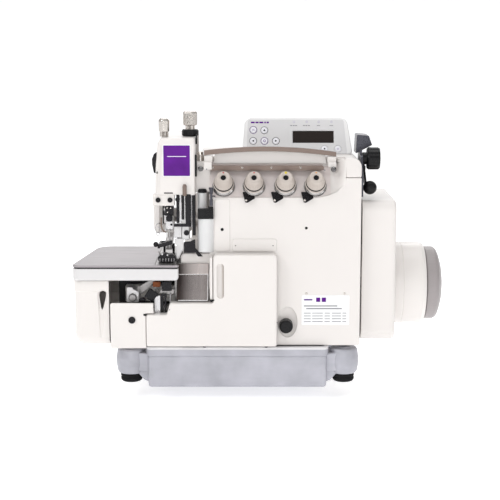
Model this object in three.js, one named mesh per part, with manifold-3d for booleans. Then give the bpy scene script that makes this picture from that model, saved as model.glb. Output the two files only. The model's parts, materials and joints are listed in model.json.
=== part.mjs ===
// Overlock (serger) sewing machine head with a built-in motor.
// Millimetres, +Z up, +X to the operator's right, the operator sits at -Y.
// The origin is the centre of the oil pan's bottom face.
import * as THREE from 'three';
import { mergeVertices } from 'three/addons/utils/BufferGeometryUtils.js';
import Module from 'manifold-3d';

const wasm = await Module();
wasm.setup();

// ---------------------------------------------------------------- driving dimensions
const GAP = 0.3;                 // left between pieces that touch
const ROUND = 16;                // sides of a small turned piece
const WALL = 6;                  // casting wall
const SHELL = 3;                 // cover wall

const PAN_HALF_X = 119.6;
const PAN_HALF_Y = 95;
const PAN_TOP = 55.7;
const RIM_BOTTOM = 43.5;
const LUG_X = 142;
const LUG_Y = 73;
const LUG_R = 20;
const LUG_BOTTOM = 16.8;
const LUG_TOP = 52;

const BED_LEFT = -110;
const BODY_RIGHT = 162;
const FRONT = -88;
const BACK = 88;
const BED_BOTTOM = PAN_TOP + GAP;
const BED_TOP = 159.5;
const COLUMN_LEFT = -36;
const COLUMN_TOP = 298;
const LEDGE_TOP = 178;
const PANEL_FOOT_Z = 254.7;      // lower edge of the sloping tension panel
const PANEL_SLOPE = 0.6;         // run back per rise
const SEAM_Z = 279.5;            // top cover joint on the right cheek
const ROOF_Z = 305;

const SHAFT_Z = 124.5;           // main shaft axis, along X at Y = 0
const SHAFT_R = 7.5;
const HEAD_LEFT = -108.6;
const HEAD_RIGHT = -54.8;
const HEAD_FRONT = -84;
const HEAD_BOTTOM = 256;
const HEAD_TOP = 330.6;
const NEEDLE_X = -92;
const NEEDLE_Y = -66;
const NEEDLE_BAR_R = 3.6;
const PRESSURE_POST = [-62, -50];    // X, Y of the post under the pressure knob
const STUD_R = 5;                // presser, knife and looper shafts

const PLATE_Z = 167;             // sewing surface
const PLATE_T = 4;
const PLATE_FRONT = -105;
const SKIRT_BOTTOM = 146.5;
const PLATE_HINGE = [-118, 62];
const SIDE_HINGE = [-173, 52];
const SIDE_TOP = 146;

const COVER_FRONT = -106;
const COVER_BACK = -91;
const ROD_Y = -99;
const ROD_Z = 65;
const ROD_R = 2.5;
const LOOPER_LOW = [-138, 120.8];    // X, Z of the lower looper's shaft
const LOOPER_UP = [-98, 92];         // X, Z of the upper looper's shaft
const PRESSER_PIVOT = [30, 215];     // Y, Z
const KNIFE_PIVOT = [10, 206];       // Y, Z

const KNOB_XS = [-17.4, 22.0, 62.9, 101.9];
const KNOB_BASE_Z = 267;
const KNOB_TILT = THREE.MathUtils.degToRad(59);   // knob axis, turned forward from +Z
const PANEL_LEAN = THREE.MathUtils.degToRad(18);  // control panel leans back
const PANEL_FOOT = [-30, 304];                    // Y, Z of the panel's own origin
const PANEL_SIZE = { left: 5.8, right: 154.7, top: 51.4, thick: 22 };
const DISPLAY = { x0: 74.2, x1: 129, z0: 16.7, z1: 32.8 };
const KEYS = {
  key_menu: [21.3, 34.2], key_up: [36.1, 33.8], key_left: [21.1, 19], key_ok: [36.2, 19],
  key_right: [51.6, 19], key_down: [36.2, 7.2], key_light: [116.8, 8.2], key_trim: [134.7, 8.2],
};
const KEY_R = 4.4;
const KEY_DEPTH = 2.4;

const MOTOR_COVER = { x0: 164.6, x1: 210, halfY: 75, z0: 59, z1: 248 };
const HOUSING_R = 56;
const HOUSING_X = [210.3, 255];
const WHEEL_R = 50;
const WHEEL_X = [255.6, 281];
const BUTTON = { x: 64.4, z: 82.8, r: 9, face: -96 };
const BALL = { x: 175.3, y: -60, z: 263.5, r: 9.1 };
const LEVER_PIVOT = [-22, 286];      // Y, Z
const AXLE_R = 3;                // feed lever's axle, and the posts that the swinging covers turn on
const LOCK = { y: -45, z: 300.8, r: 15 };

// ---------------------------------------------------------------- finishes
const finish = (color, roughness, metalness) => new THREE.MeshStandardMaterial(
  { color, roughness, metalness });
const cream = finish(0xede9e4, 0.45, 0.0);
const castAluminium = finish(0xb9bcc2, 0.55, 0.8);
const blackRubber = finish(0x1c1c1d, 0.8, 0.0);
const blackPlastic = finish(0x202022, 0.45, 0.0);
const nickel = finish(0xc9c6c0, 0.25, 1.0);
const steel = finish(0xa39e9a, 0.35, 1.0);
const bronzeGrey = finish(0x85756c, 0.4, 0.8);
const plateGrey = finish(0xb4aeb2, 0.35, 0.9);
const wheelGrey = finish(0x9b9191, 0.5, 0.1);
const panelGrey = finish(0xdcdcdc, 0.5, 0.0);
const knobIvory = finish(0xd8d2c6, 0.5, 0.0);
const displayBrown = finish(0x2e2522, 0.15, 0.0);
const keyWhite = finish(0xe6e4ea, 0.45, 0.0);
const boardGreen = finish(0x2f6b45, 0.6, 0.0);
const copper = finish(0xa9714b, 0.4, 0.9);

// ---------------------------------------------------------------- solids
// Turns a closed three.js geometry into a manifold solid.
function solid(geometry) {
  const bare = new THREE.BufferGeometry();
  bare.setAttribute('position', geometry.getAttribute('position').clone());
  if (geometry.index) bare.setIndex(geometry.index.clone());
  const merged = mergeVertices(bare, 1e-4);
  const corners = merged.index.array;
  const kept = [];
  for (let i = 0; i < corners.length; i += 3) {
    const [a, b, c] = [corners[i], corners[i + 1], corners[i + 2]];
    if (a !== b && b !== c && c !== a) kept.push(a, b, c);
  }
  return new wasm.Manifold(new wasm.Mesh({
    numProp: 3,
    vertProperties: new Float32Array(merged.getAttribute('position').array),
    triVerts: new Uint32Array(kept),
  }));
}

// Reads a manifold solid back into a three.js geometry.
function geometryOf(shape) {
  const mesh = shape.getMesh();
  const geometry = new THREE.BufferGeometry();
  geometry.setAttribute('position', new THREE.BufferAttribute(new Float32Array(mesh.vertProperties), 3));
  geometry.setIndex(new THREE.BufferAttribute(new Uint32Array(mesh.triVerts), 1));
  return geometry;
}

const join = (...shapes) => shapes.reduce((whole, shape) => whole.add(shape));
const cut = (shape, ...tools) => tools.reduce((left, tool) => left.subtract(tool), shape);

function box(x0, x1, y0, y1, z0, z1) {
  const geometry = new THREE.BoxGeometry(x1 - x0, y1 - y0, z1 - z0);
  return solid(geometry.translate((x0 + x1) / 2, (y0 + y1) / 2, (z0 + z1) / 2));
}

// Closed outline through straight points; a point with a third number is rounded to that radius.
function outline(points) {
  const shape = new THREE.Shape();
  const count = points.length;
  const at = (i) => new THREE.Vector2(points[(i + count) % count][0], points[(i + count) % count][1]);
  for (let i = 0; i < count; i += 1) {
    const radius = points[i][2] || 0;
    const corner = at(i);
    const before = at(i - 1).sub(corner).normalize();
    const after = at(i + 1).sub(corner).normalize();
    const half = Math.acos(THREE.MathUtils.clamp(before.dot(after), -1, 1)) / 2;
    const reach = radius ? radius / Math.tan(half) : 0;
    const enter = corner.clone().addScaledVector(before, reach);
    const leave = corner.clone().addScaledVector(after, reach);
    if (i === 0) shape.moveTo(enter.x, enter.y);
    else shape.lineTo(enter.x, enter.y);
    if (radius) shape.quadraticCurveTo(corner.x, corner.y, leave.x, leave.y);
  }
  shape.closePath();
  return shape;
}

const AXES = {
  x: new THREE.Matrix4().set(0, 0, 1, 0, 1, 0, 0, 0, 0, 1, 0, 0, 0, 0, 0, 1),
  y: new THREE.Matrix4().set(1, 0, 0, 0, 0, 0, -1, 0, 0, 1, 0, 0, 0, 0, 0, 1),
  z: new THREE.Matrix4(),
};

// Straight prism of an outline: along x the points are (Y, Z), along y (X, Z), along z (X, Y).
function prism(axis, points, from, to, curveSegments = 4) {
  const shape = Array.isArray(points) ? outline(points) : points;
  const geometry = new THREE.ExtrudeGeometry(shape, { depth: to - from, bevelEnabled: false, curveSegments });
  geometry.translate(0, 0, axis === 'y' ? -to : from);
  return solid(geometry.applyMatrix4(AXES[axis]));
}

// Solid of revolution about a line along the axis; profile points are (radius, place along the axis).
function turnedGeometry(axis, profile, centre = [0, 0], sides = ROUND) {
  const points = profile.map(([radius, along]) => new THREE.Vector2(radius, along));
  const geometry = new THREE.LatheGeometry([...points, points[0]], sides);
  geometry.rotateX(Math.PI / 2);
  if (axis === 'x') {
    geometry.rotateY(Math.PI / 2);
    geometry.translate(0, centre[0], centre[1]);
  } else if (axis === 'y') {
    geometry.rotateX(-Math.PI / 2);
    geometry.translate(centre[0], 0, centre[1]);
  } else geometry.translate(centre[0], centre[1], 0);
  return geometry;
}

// The profile may run either way round, so an inside-out result is turned back.
function turned(axis, profile, centre, sides) {
  const shape = solid(turnedGeometry(axis, profile, centre, sides));
  if (shape.volume() > 0) return shape;
  return solid(turnedGeometry(axis, [...profile].reverse(), centre, sides));
}

const rod = (axis, radius, from, to, centre, sides) => turned(
  axis, [[0, from], [radius, from], [radius, to], [0, to]], centre, sides);
const ring = (axis, inner, outer, from, to, centre, sides) => turned(
  axis, [[inner, from], [outer, from], [outer, to], [inner, to]], centre, sides);

// ---------------------------------------------------------------- the group
const group = new THREE.Group();

function part(name, shape, material, parent = group) {
  const mesh = new THREE.Mesh(geometryOf(shape), material);
  mesh.name = name;
  parent.add(mesh);
  return mesh;
}

// ---------------------------------------------------------------- oil pan and cushions
const corners = [[-1, -1, 'front_left'], [1, -1, 'front_right'], [-1, 1, 'rear_left'], [1, 1, 'rear_right']];

function oilPan() {
  const rim = 1.2;
  const tray = join(
    box(-PAN_HALF_X, PAN_HALF_X, -PAN_HALF_Y, PAN_HALF_Y, 0, RIM_BOTTOM),
    box(-PAN_HALF_X - rim, PAN_HALF_X + rim, -PAN_HALF_Y - rim, PAN_HALF_Y + rim, RIM_BOTTOM - 0.1, PAN_TOP),
  );
  const lugs = corners.map(([sx, sy]) => {
    const pad = rod('z', LUG_R, LUG_BOTTOM, LUG_TOP, [sx * LUG_X, sy * LUG_Y], 24);
    const inner = sx * (PAN_HALF_X - 2);
    const outer = sx * LUG_X;
    const web = box(Math.min(inner, outer), Math.max(inner, outer), sy * LUG_Y - 18, sy * LUG_Y + 18,
      LUG_BOTTOM + 4, LUG_TOP - 6);
    return pad.add(web);
  });
  const bores = corners.map(([sx, sy]) => rod('z', 8, LUG_BOTTOM - 1, LUG_BOTTOM + 18,
    [sx * LUG_X, sy * LUG_Y], 16));
  const inside = box(-PAN_HALF_X + WALL, PAN_HALF_X - WALL, -PAN_HALF_Y + WALL, PAN_HALF_Y - WALL,
    WALL, PAN_TOP + 1);
  return cut(join(tray, ...lugs), inside, ...bores);
}
part('oil_pan', oilPan(), castAluminium);

const CUSHION_R = 14.5;
const STEM_R = 7.6;              // plug of the cushion, up inside the lug's bore
const STEM_TOP = 30;
const cushion = turned('z', [[0, 5], [CUSHION_R - 1.5, 5], [CUSHION_R, 7], [CUSHION_R, LUG_BOTTOM - GAP],
  [STEM_R, LUG_BOTTOM - GAP], [STEM_R, STEM_TOP], [0, STEM_TOP]]);
for (const [sx, sy, place] of corners) {
  part(`rubber_cushion_${place}`, cushion, blackRubber).position.set(sx * LUG_X, sy * LUG_Y, 0);
}

// ---------------------------------------------------------------- frame casting
const slopeAt = (z, offset = 0) => FRONT + offset + PANEL_SLOPE * (z - PANEL_FOOT_Z);
const PANEL_THICK = 4.4;         // measured level, front to back

// Outline of the right cheek beside the sloping panel, grown by a margin on its curved side.
function cheekOutline(margin) {
  const shape = new THREE.Shape();
  shape.moveTo(104 - margin, PANEL_FOOT_Z - 12);
  shape.lineTo(104 - margin, PANEL_FOOT_Z - GAP);
  shape.quadraticCurveTo(138 - margin, 257, 140.3 - margin, SEAM_Z);
  shape.lineTo(140.3 - margin, ROOF_Z + 20);
  shape.lineTo(BODY_RIGHT, ROOF_Z + 20);
  shape.lineTo(BODY_RIGHT, PANEL_FOOT_Z - 12);
  shape.closePath();
  return shape;
}

function frameCasting() {
  const slopeBack = PANEL_THICK + GAP;
  const bed = box(BED_LEFT, BODY_RIGHT, FRONT, BACK, BED_BOTTOM, BED_TOP);
  const ledge = box(-75, COLUMN_LEFT + 1, -75, 60, BED_TOP - 1, LEDGE_TOP);
  const column = prism('x', [[FRONT, BED_TOP - 1], [FRONT, PANEL_FOOT_Z - GAP],
    [slopeAt(PANEL_FOOT_Z - GAP, slopeBack), PANEL_FOOT_Z - GAP],
    [slopeAt(COLUMN_TOP, slopeBack), COLUMN_TOP], [BACK, COLUMN_TOP], [BACK, BED_TOP - 1]],
  COLUMN_LEFT, BODY_RIGHT);
  const cheek = cut(prism('y', cheekOutline(0), FRONT, -40), box(90, 170, -100, -30, SEAM_Z, 340));
  const arm = box(HEAD_LEFT + SHELL + 1, COLUMN_LEFT + 1, -56, 45, 262, COLUMN_TOP);
  const cornerPost = rod('z', 9, BED_TOP - 1, 264, [-44.5, -50], 16);
  const guides = [[264, 272], [288, 296]].map(([z0, z1]) => box(-100, -84, -73, -55, z0, z1));
  const pressurePost = rod('z', 4, COLUMN_TOP - 2, 350, PRESSURE_POST, 12);
  const presserStud = rod('x', STUD_R, -97, COLUMN_LEFT + 1, PRESSER_PIVOT, 16);
  const knifeStud = rod('x', STUD_R, -77, COLUMN_LEFT + 1, KNIFE_PIVOT, 16);
  const hingeBracket = join(
    box(-128, BED_LEFT + 1, 52, 72, 134, 149),
    rod('z', 3, 148, 162.5, PLATE_HINGE, 16),
  );

  const hollows = [
    // sump side of the bed, and the drive side
    box(BED_LEFT + WALL, 112, FRONT + WALL, BACK - WALL, BED_BOTTOM - 1, BED_TOP - 5),
    box(111, BODY_RIGHT - WALL, FRONT + WALL, BACK - WALL, BED_BOTTOM + WALL, BED_TOP - 5),
    // column, below and behind the sloping front
    box(COLUMN_LEFT + WALL, BODY_RIGHT - WALL, FRONT + WALL, BACK - WALL, BED_TOP - 2, 246),
    box(COLUMN_LEFT + WALL, BODY_RIGHT - WALL, -48, BACK - WALL, 245, 292),
    // arm
    box(HEAD_LEFT, COLUMN_LEFT + WALL + 1, -50, 39, 268, 292),
    // looper space, open to the left and to the front
    box(BED_LEFT - 1, BED_LEFT + WALL + 1, FRONT + WALL, 20, 62, 153),
    box(BED_LEFT - 1, COLUMN_LEFT - 2, FRONT - 1, FRONT + WALL + 1, 70, 153),
    // under the needle plate, the knife slot and the chute recess
    box(-104, -84, -74, -34, BED_TOP - 7, BED_TOP + 1),
    box(-84.5, -76.5, FRONT - 1, -50, 104, BED_TOP + 1),
    box(-84.5, COLUMN_LEFT - 1, FRONT - 1, -75, 104, LEDGE_TOP + 1),
    // rear opening, and the seat of the top cover
    box(-60, 120, BACK - WALL - 1, BACK + 1, 80, 230),
    box(140.3, BODY_RIGHT + 1, FRONT - 1, -39.4, SEAM_Z, COLUMN_TOP + 1),
  ];
  const innerWalls = [
    box(20, 28, FRONT + 1, BACK - 1, 96, BED_TOP - 1),
    box(-70, -62, -60, BACK - 1, 70, BED_TOP - 1),
    box(-110, -62, -60, -46, 76, 104),
    box(-150, -62, -60, -46, 110, 131.5),
  ];
  const bores = [
    rod('x', SHAFT_R + GAP, -72, 170, [0, SHAFT_Z], 24),
    rod('y', BUTTON.r + GAP, FRONT - 1, FRONT + WALL + 1, [BUTTON.x, BUTTON.z], 24),
    rod('z', NEEDLE_BAR_R + GAP, 260, 300, [NEEDLE_X, NEEDLE_Y], 16),
    rod('y', STUD_R + GAP, -62, -44, LOOPER_LOW, 16),
    rod('y', STUD_R + GAP, -62, -44, LOOPER_UP, 16),
  ];
  const lugs = [-62, 16].map((x) => cut(
    rod('x', ROD_R + 1.3, x, x + 8, [ROD_Y, ROD_Z], 16)
      .add(box(x, x + 8, ROD_Y, FRONT + 1, ROD_Z - 3.4, ROD_Z + 3.4)),
    rod('x', ROD_R + GAP, x - 1, x + 9, [ROD_Y, ROD_Z], 12),
  ));
  const whole = join(bed, ledge, column, cheek, arm, cornerPost, pressurePost,
    presserStud, knifeStud, ...guides);
  const shell = cut(whole, ...hollows);
  return join(cut(join(shell, ...innerWalls), ...bores), hingeBracket, ...lugs);
}
part('frame_casting', frameCasting(), cream);

function topCover() {
  const lid = prism('y', [[-50, COLUMN_TOP + GAP], [140.6, COLUMN_TOP + GAP], [140.6, SEAM_Z + GAP],
    [BODY_RIGHT, SEAM_Z + GAP], [BODY_RIGHT, ROOF_Z, 14], [-50, ROOF_Z]], FRONT, 84);
  return cut(lid, box(-60, 140.4, FRONT - 1, -56, 270, ROOF_Z + 1),
    box(140, BODY_RIGHT + 1, -39.7, 90, SEAM_Z, COLUMN_TOP + GAP));
}
part('top_cover', topCover(), cream);

function tensionPanel() {
  const slab = prism('x', [
    [slopeAt(PANEL_FOOT_Z), PANEL_FOOT_Z], [slopeAt(PANEL_FOOT_Z, PANEL_THICK), PANEL_FOOT_Z],
    [slopeAt(COLUMN_TOP, PANEL_THICK), COLUMN_TOP], [slopeAt(COLUMN_TOP), COLUMN_TOP]], COLUMN_LEFT, 139.8);
  return slab.subtract(prism('y', cheekOutline(GAP), -100, -30));
}
part('tension_panel', tensionPanel(), cream);

const rearOutline = [[-68, 72, 6], [128, 72, 6], [128, 238, 6], [-68, 238, 6]];
part('rear_cover', prism('y', rearOutline, BACK + GAP, BACK + 4), cream);

// ---------------------------------------------------------------- head
function headCover() {
  const outer = prism('y', [[HEAD_LEFT, HEAD_BOTTOM], [HEAD_RIGHT, HEAD_BOTTOM], [HEAD_RIGHT, HEAD_TOP, 3],
    [HEAD_LEFT, HEAD_TOP, 6]], HEAD_FRONT, 50);
  const inside = box(HEAD_LEFT + SHELL, HEAD_RIGHT + 1, HEAD_FRONT + SHELL, 47,
    HEAD_BOTTOM - 1, HEAD_TOP - SHELL);
  const rightLip = box(HEAD_RIGHT - SHELL, HEAD_RIGHT, HEAD_FRONT + 1, -58, HEAD_BOTTOM, HEAD_TOP - 1);
  const postHole = rod('z', 4.6, HEAD_TOP - 5, HEAD_TOP + 1, PRESSURE_POST, 12);
  return cut(join(outer.subtract(inside), rightLip), postHole);
}
part('head_cover', headCover(), cream);

part('slotted_cap', turned('z', [[0, HEAD_TOP + GAP], [4, HEAD_TOP + GAP], [4, 338], [7.4, 338], [7.4, 353],
  [6.4, 355], [0, 355]], [-95.7, -62]), nickel);

part('pressure_knob', turned('z', [[4.3, HEAD_TOP + GAP], [11.2, HEAD_TOP + GAP], [11.2, 339.5],
  [5.6, 340], [5.6, 345], [9.3, 346], [9.3, 361.5], [8, 363.3], [0, 363.3], [0, 351], [4.3, 351]],
PRESSURE_POST), nickel);

part('needle_bar', rod('z', NEEDLE_BAR_R, 238, 324, [NEEDLE_X, NEEDLE_Y], 16), steel);

function needleClamp() {
  const top = 237.7;
  const body = turned('z', [[0, 214], [3, 214], [5, 218], [5, top], [0, top]], [NEEDLE_X, NEEDLE_Y], 12);
  const needles = [-2.4, 2.4].map((dx) => turned('z',
    [[0, 181], [0.5, 184], [0.8, 205], [1.2, 216], [0, 216]],
    [NEEDLE_X + dx, NEEDLE_Y], 8));
  return join(body, box(NEEDLE_X - 9, NEEDLE_X + 4, NEEDLE_Y - 5, NEEDLE_Y + 2, 222, 232), ...needles);
}
part('needle_clamp', needleClamp(), steel);

// ---------------------------------------------------------------- presser, knives, feed, loopers
function presserArm() {
  const bar = prism('x', [[-46, 178], [-46, 190, 4], [-20, 192], [PRESSER_PIVOT[0] + 9, 224, 6],
    [PRESSER_PIVOT[0] + 12, 206, 6], [-14, 181], [-30, 178]], -96, -88);
  const boss = rod('x', 10, -96.5, -84, PRESSER_PIVOT, 20);
  const hole = rod('x', STUD_R + GAP, -99, -80, PRESSER_PIVOT, 16);
  const forkHole = rod('x', 2 + GAP, -99, -80, [-42, 182], 10);
  return cut(bar.add(boss), hole, forkHole);
}
part('presser_arm', presserArm(), steel);

function presserFoot() {
  const sole = cut(
    prism('z', [[-104, -84, 4], [-80.4, -86, 3], [-80.4, -38, 3], [-104, -38, 3]], 168.3, 172.6),
    box(NEEDLE_X - 4, NEEDLE_X + 4, -70, -60, 160, 180),
    box(-88, -86.8, -90, -58, 160, 180),
    box(-97.4, -96.2, -90, -74, 160, 180),
  );
  const ears = [[-99.6, -96.4], [-87.6, -84.4]].map(([x0, x1]) => box(x0, x1, -47, -38, 170, 186));
  const pin = rod('x', 2, -99, -85, [-42, 182], 10);
  return join(sole, ...ears, pin);
}
part('presser_foot', presserFoot(), steel);

function upperKnifeArm() {
  const bar = prism('x', [[-66, 198], [-66, 214, 3], [-40, 214], [KNIFE_PIVOT[0] + 4, 216, 4],
    [KNIFE_PIVOT[0] + 6, 198, 4], [-30, 199]], -75.5, -64);
  const boss = rod('x', 10, -76, -64, KNIFE_PIVOT, 20);
  const block = box(-79.6, -63, -74, -60, 196, 216.5);
  return join(bar, boss, block).subtract(rod('x', STUD_R + GAP, -80, -60, KNIFE_PIVOT, 16));
}
part('upper_knife_arm', upperKnifeArm(), steel);
part('upper_knife', prism('x', [[-76, 171], [-64, 174], [-64, 195.7], [-76, 195.7]], -79.6, -77), steel);
part('lower_knife', prism('x', [[-75, 108], [-65, 108], [-65, 166.8], [-75, 166.8]], -83, -80.2), steel);

function needlePlate() {
  const sheet = prism('z', [[-106.7, -98.7], [-76, -98.7], [-76, 49], [-106.7, 49]], BED_TOP + GAP, PLATE_Z);
  return cut(sheet, box(-98.5, -85.5, -71, -36, 150, 170), box(-84, -70, -99.5, -52, 150, 170));
}
part('needle_plate', needlePlate(), plateGrey);

function feedDog() {
  const rows = [-97, -92.5, -88].map((x) => box(x, x + 1.6, -57, -42, 158, 167.8));
  return join(box(-97, -86.4, -57, -42, 154.5, 162), box(-95, -88, -54, -45, 134, 156), ...rows);
}
part('feed_dog', feedDog(), steel);

// A looper: its rocking shaft, hub and a tapered blade that runs from the hub to the tip.
function looper(pivot, tip, armY) {
  const along = new THREE.Vector2(tip[0] - pivot[0], tip[1] - pivot[1]);
  const side = new THREE.Vector2(-along.y, along.x).normalize();
  const at = (share, offset) => [
    pivot[0] + along.x * share + side.x * offset,
    pivot[1] + along.y * share + side.y * offset,
  ];
  const shaft = rod('y', STUD_R, -86, -40, pivot, 16);
  const hub = rod('y', 8.5, armY - 3.5, armY + 3.5, pivot, 16);
  const blade = prism('y', [at(0, -6), at(0.6, -4), at(1, 0), at(0.6, 3), at(0, 6)], armY - 2, armY + 2);
  return join(shaft, hub, blade);
}
part('lower_looper', looper(LOOPER_LOW, [-104, 147], -68), steel);
part('upper_looper', looper(LOOPER_UP, [-110, 138], -77), steel);

// ---------------------------------------------------------------- cloth plate and covers
function clothPlate() {
  const top = (inset, z0, z1) => prism('z', [
    [-216 + inset, PLATE_FRONT + inset, 8], [-107, PLATE_FRONT + inset],
    [-107, 49 - inset], [-196 + inset, 49 - inset, 22]], z0, z1, 6);
  const lower = top(0, SKIRT_BOTTOM, PLATE_Z);
  const hollow = join(top(SHELL, SKIRT_BOTTOM - 1, PLATE_Z - PLATE_T),
    box(-150, -100, PLATE_FRONT + SHELL, 80, SKIRT_BOTTOM - 1, PLATE_Z - PLATE_T));
  const strip = box(-107.5, -76, PLATE_FRONT, -99.3, SKIRT_BOTTOM, PLATE_Z);
  const knuckle = rod('z', 8, 149.6, PLATE_Z - PLATE_T + 0.5, PLATE_HINGE, 20);
  const tongue = box(-126, -110, 40, 62, 155, PLATE_Z - PLATE_T + 0.5);
  const hole = rod('z', 3 + GAP, 140, PLATE_Z - PLATE_T, PLATE_HINGE, 16);
  return join(lower.subtract(hollow), strip, knuckle, tongue).subtract(hole);
}
part('cloth_plate', clothPlate(), plateGrey);

function sideCover() {
  const front = -100;
  const outer = (inset) => prism('z', [[-216 + inset, front + inset, 14], [-168, front + inset],
    [-168, 44 - inset], [-205 + inset, 44 - inset, 22]], 58 + inset, SIDE_TOP - inset, 5);
  const hollow = join(outer(SHELL), box(-190, -160, front + SHELL, 44 - SHELL, 58 + SHELL, SIDE_TOP - SHELL));
  const lug = box(-180, -168, 40, SIDE_HINGE[1], 90, 104);
  const knuckle = rod('z', 6, 90, 104, SIDE_HINGE, 16);
  const hole = rod('z', 3 + GAP, 80, 110, SIDE_HINGE, 12);
  return join(outer(0).subtract(hollow), lug, knuckle).subtract(hole);
}
part('side_cover', sideCover(), cream);

function frontLeftCover() {
  const front = prism('y', [[-166, 56, 3], [-119.6, 56], [-119.6, 102.8], [-109.5, 102.8], [-109.5, 116.6],
    [-166, 116.6, 3]], -104, -100);
  const floor = box(-166, -119.6, -101, 61, 56, 60);
  const rear = box(-166, -112, 57, 61, 56, 130);
  const post = join(rod('z', 3, 86, 106, SIDE_HINGE, 12), rod('z', 6, 80, 89.6, SIDE_HINGE, 16),
    box(-178, -165, 46, 60, 80, 89.6));
  return join(front, floor, rear, post);
}
part('front_left_cover', frontLeftCover(), cream);

function chipChute() {
  const profile = [[-75.6, 163], [-78, 163], [-80, 150, 6], [-90, 130, 10], [-98, 119], [-95.4, 117.5],
    [-87.6, 128, 10], [-77.5, 149, 6]];
  return prism('x', profile, -79.4, -37.6);
}
part('chip_chute', chipChute(), steel);

function frontCover() {
  const face = (inset) => [
    [-119 + inset, 58.7 + inset, 3], [52 - inset, 58.7 + inset, 3], [52 - inset, 181 - inset, 5],
    [-31 + inset, 181 - inset, 5], [-31 + inset, 117 - inset, 3], [-88 + inset, 117 - inset, 3],
    [-92 + inset, 101.5 - inset, 3], [-119 + inset, 101.5 - inset, 3]];
  const shell = cut(prism('y', face(0), COVER_FRONT, COVER_BACK),
    prism('y', face(SHELL), COVER_FRONT + SHELL, -80),
    box(-71, -51, COVER_FRONT + SHELL, -80, 50, 75), box(7, 27, COVER_FRONT + SHELL, -80, 50, 75));
  const groove = rod('z', 5, 122.6, 170, [-22, COVER_FRONT], 20);
  const grooveWall = box(-28.6, -15.4, COVER_FRONT + 1, COVER_FRONT + 8, 118, 178);
  const knuckles = [-104, 38].map((x) => box(x, x + 8, COVER_FRONT + 1, ROD_Y + 5, 59.5, ROD_Z + 5));
  const holes = [-104, 38].map((x) => rod('x', ROD_R + GAP, x - 1, x + 9, [ROD_Y, ROD_Z], 12));
  return cut(join(shell, grooveWall, ...knuckles), groove, ...holes);
}
part('front_cover', frontCover(), cream);
part('front_cover_hinge_rod', rod('x', ROD_R, -108, 44, [ROD_Y, ROD_Z], 12), steel);

// ---------------------------------------------------------------- thread guides and tensions
function archedGuide() {
  const arch = new THREE.Shape();
  arch.moveTo(-43, 307.4);
  arch.quadraticCurveTo(43, 319, 129, 305.9);
  arch.lineTo(129, 312.2);
  arch.quadraticCurveTo(43, 325, -43, 314.4);
  arch.closePath();
  const bar = prism('y', arch, -79, -73, 12);
  const blocks = [[-43, -32, 309], [117.5, 129, 308.5]].map(
    ([x0, x1, z1]) => box(x0, x1, -78, -56.3, COLUMN_TOP + 0.6, z1));
  return join(bar, ...blocks);
}
part('arched_thread_guide', archedGuide(), bronzeGrey);

function lowerGuide() {
  const face = outline([[-35, 289], [113, 289, 2.9], [113, 295, 2.9], [-35, 295]]);
  for (const x of [-31.5, 6.8, 44.7, 82.6]) {
    face.holes.push(new THREE.Path().absarc(x, 292, 1.7, 0, Math.PI * 2, true));
  }
  return join(prism('y', face, -81, -78.6), box(-35, 110, -81, -69, 288, 289.4));
}
part('lower_thread_guide', lowerGuide(), bronzeGrey);

const discSet = turned('z', [[0, 0.4], [15, 0.4], [15, 1.6], [5, 2], [5, 3], [13, 2.6], [14, 3.8], [5, 4.6],
  [13, 5], [13, 5.8], [2.8, 6.2], [2.8, 27], [0, 27]]);
const knob = turned('z', [[3.1, 7], [8.6, 7], [8.6, 12], [10.2, 13], [11.5, 16], [11.5, 27.5], [10.2, 29.5],
  [3.3, 29.5]]);
KNOB_XS.forEach((x, i) => {
  const tension = new THREE.Group();
  tension.position.set(x, slopeAt(KNOB_BASE_Z), KNOB_BASE_Z);
  tension.rotation.x = KNOB_TILT;
  group.add(tension);
  part(`tension_disc_set_${i + 1}`, discSet, nickel, tension);
  part(`tension_knob_${i + 1}`, knob, knobIvory, tension);
});

// ---------------------------------------------------------------- control panel
const panelFrame = new THREE.Group();
panelFrame.position.set(0, PANEL_FOOT[0], PANEL_FOOT[1]);
panelFrame.rotation.x = -PANEL_LEAN;
group.add(panelFrame);

function panelHousing() {
  const { left, right, top, thick } = PANEL_SIZE;
  const face = [[left, 2, 6], [right, 0, 6], [right - 7.5, top, 9], [left + 4.3, top, 9]];
  const block = prism('y', face, 0, thick);
  const below = solid(new THREE.BoxGeometry(200, 100, 40).translate(80, 0, -20));
  const level = below.rotate([18, 0, 0]).translate([0, 0, 1.6]);
  const pocket = box(DISPLAY.x0 - GAP, DISPLAY.x1 + GAP, -1, 5, DISPLAY.z0 - GAP, DISPLAY.z1 + GAP);
  const wells = Object.values(KEYS).map(([x, z]) => rod('y', KEY_R + GAP, -1, KEY_DEPTH + 1, [x, z], 12));
  return cut(block, level, pocket, ...wells);
}
part('panel_housing', panelHousing(), panelGrey, panelFrame);
const display = box(DISPLAY.x0, DISPLAY.x1, 0.2, 4.7, DISPLAY.z0, DISPLAY.z1);
part('display_module', display, displayBrown, panelFrame);
const keyProfile = [[0, -1], [3.6, -1], [KEY_R, -0.3], [KEY_R, KEY_DEPTH], [0, KEY_DEPTH]];
const keyCap = turned('y', keyProfile, [0, 0], 10);
for (const [name, [x, z]] of Object.entries(KEYS)) {
  part(name, keyCap, keyWhite, panelFrame).position.set(x, 0, z);
}

// ---------------------------------------------------------------- shaft, motor and handwheel
part('main_shaft', rod('x', SHAFT_R, -96, 272, [0, SHAFT_Z], 24), steel);

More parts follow.
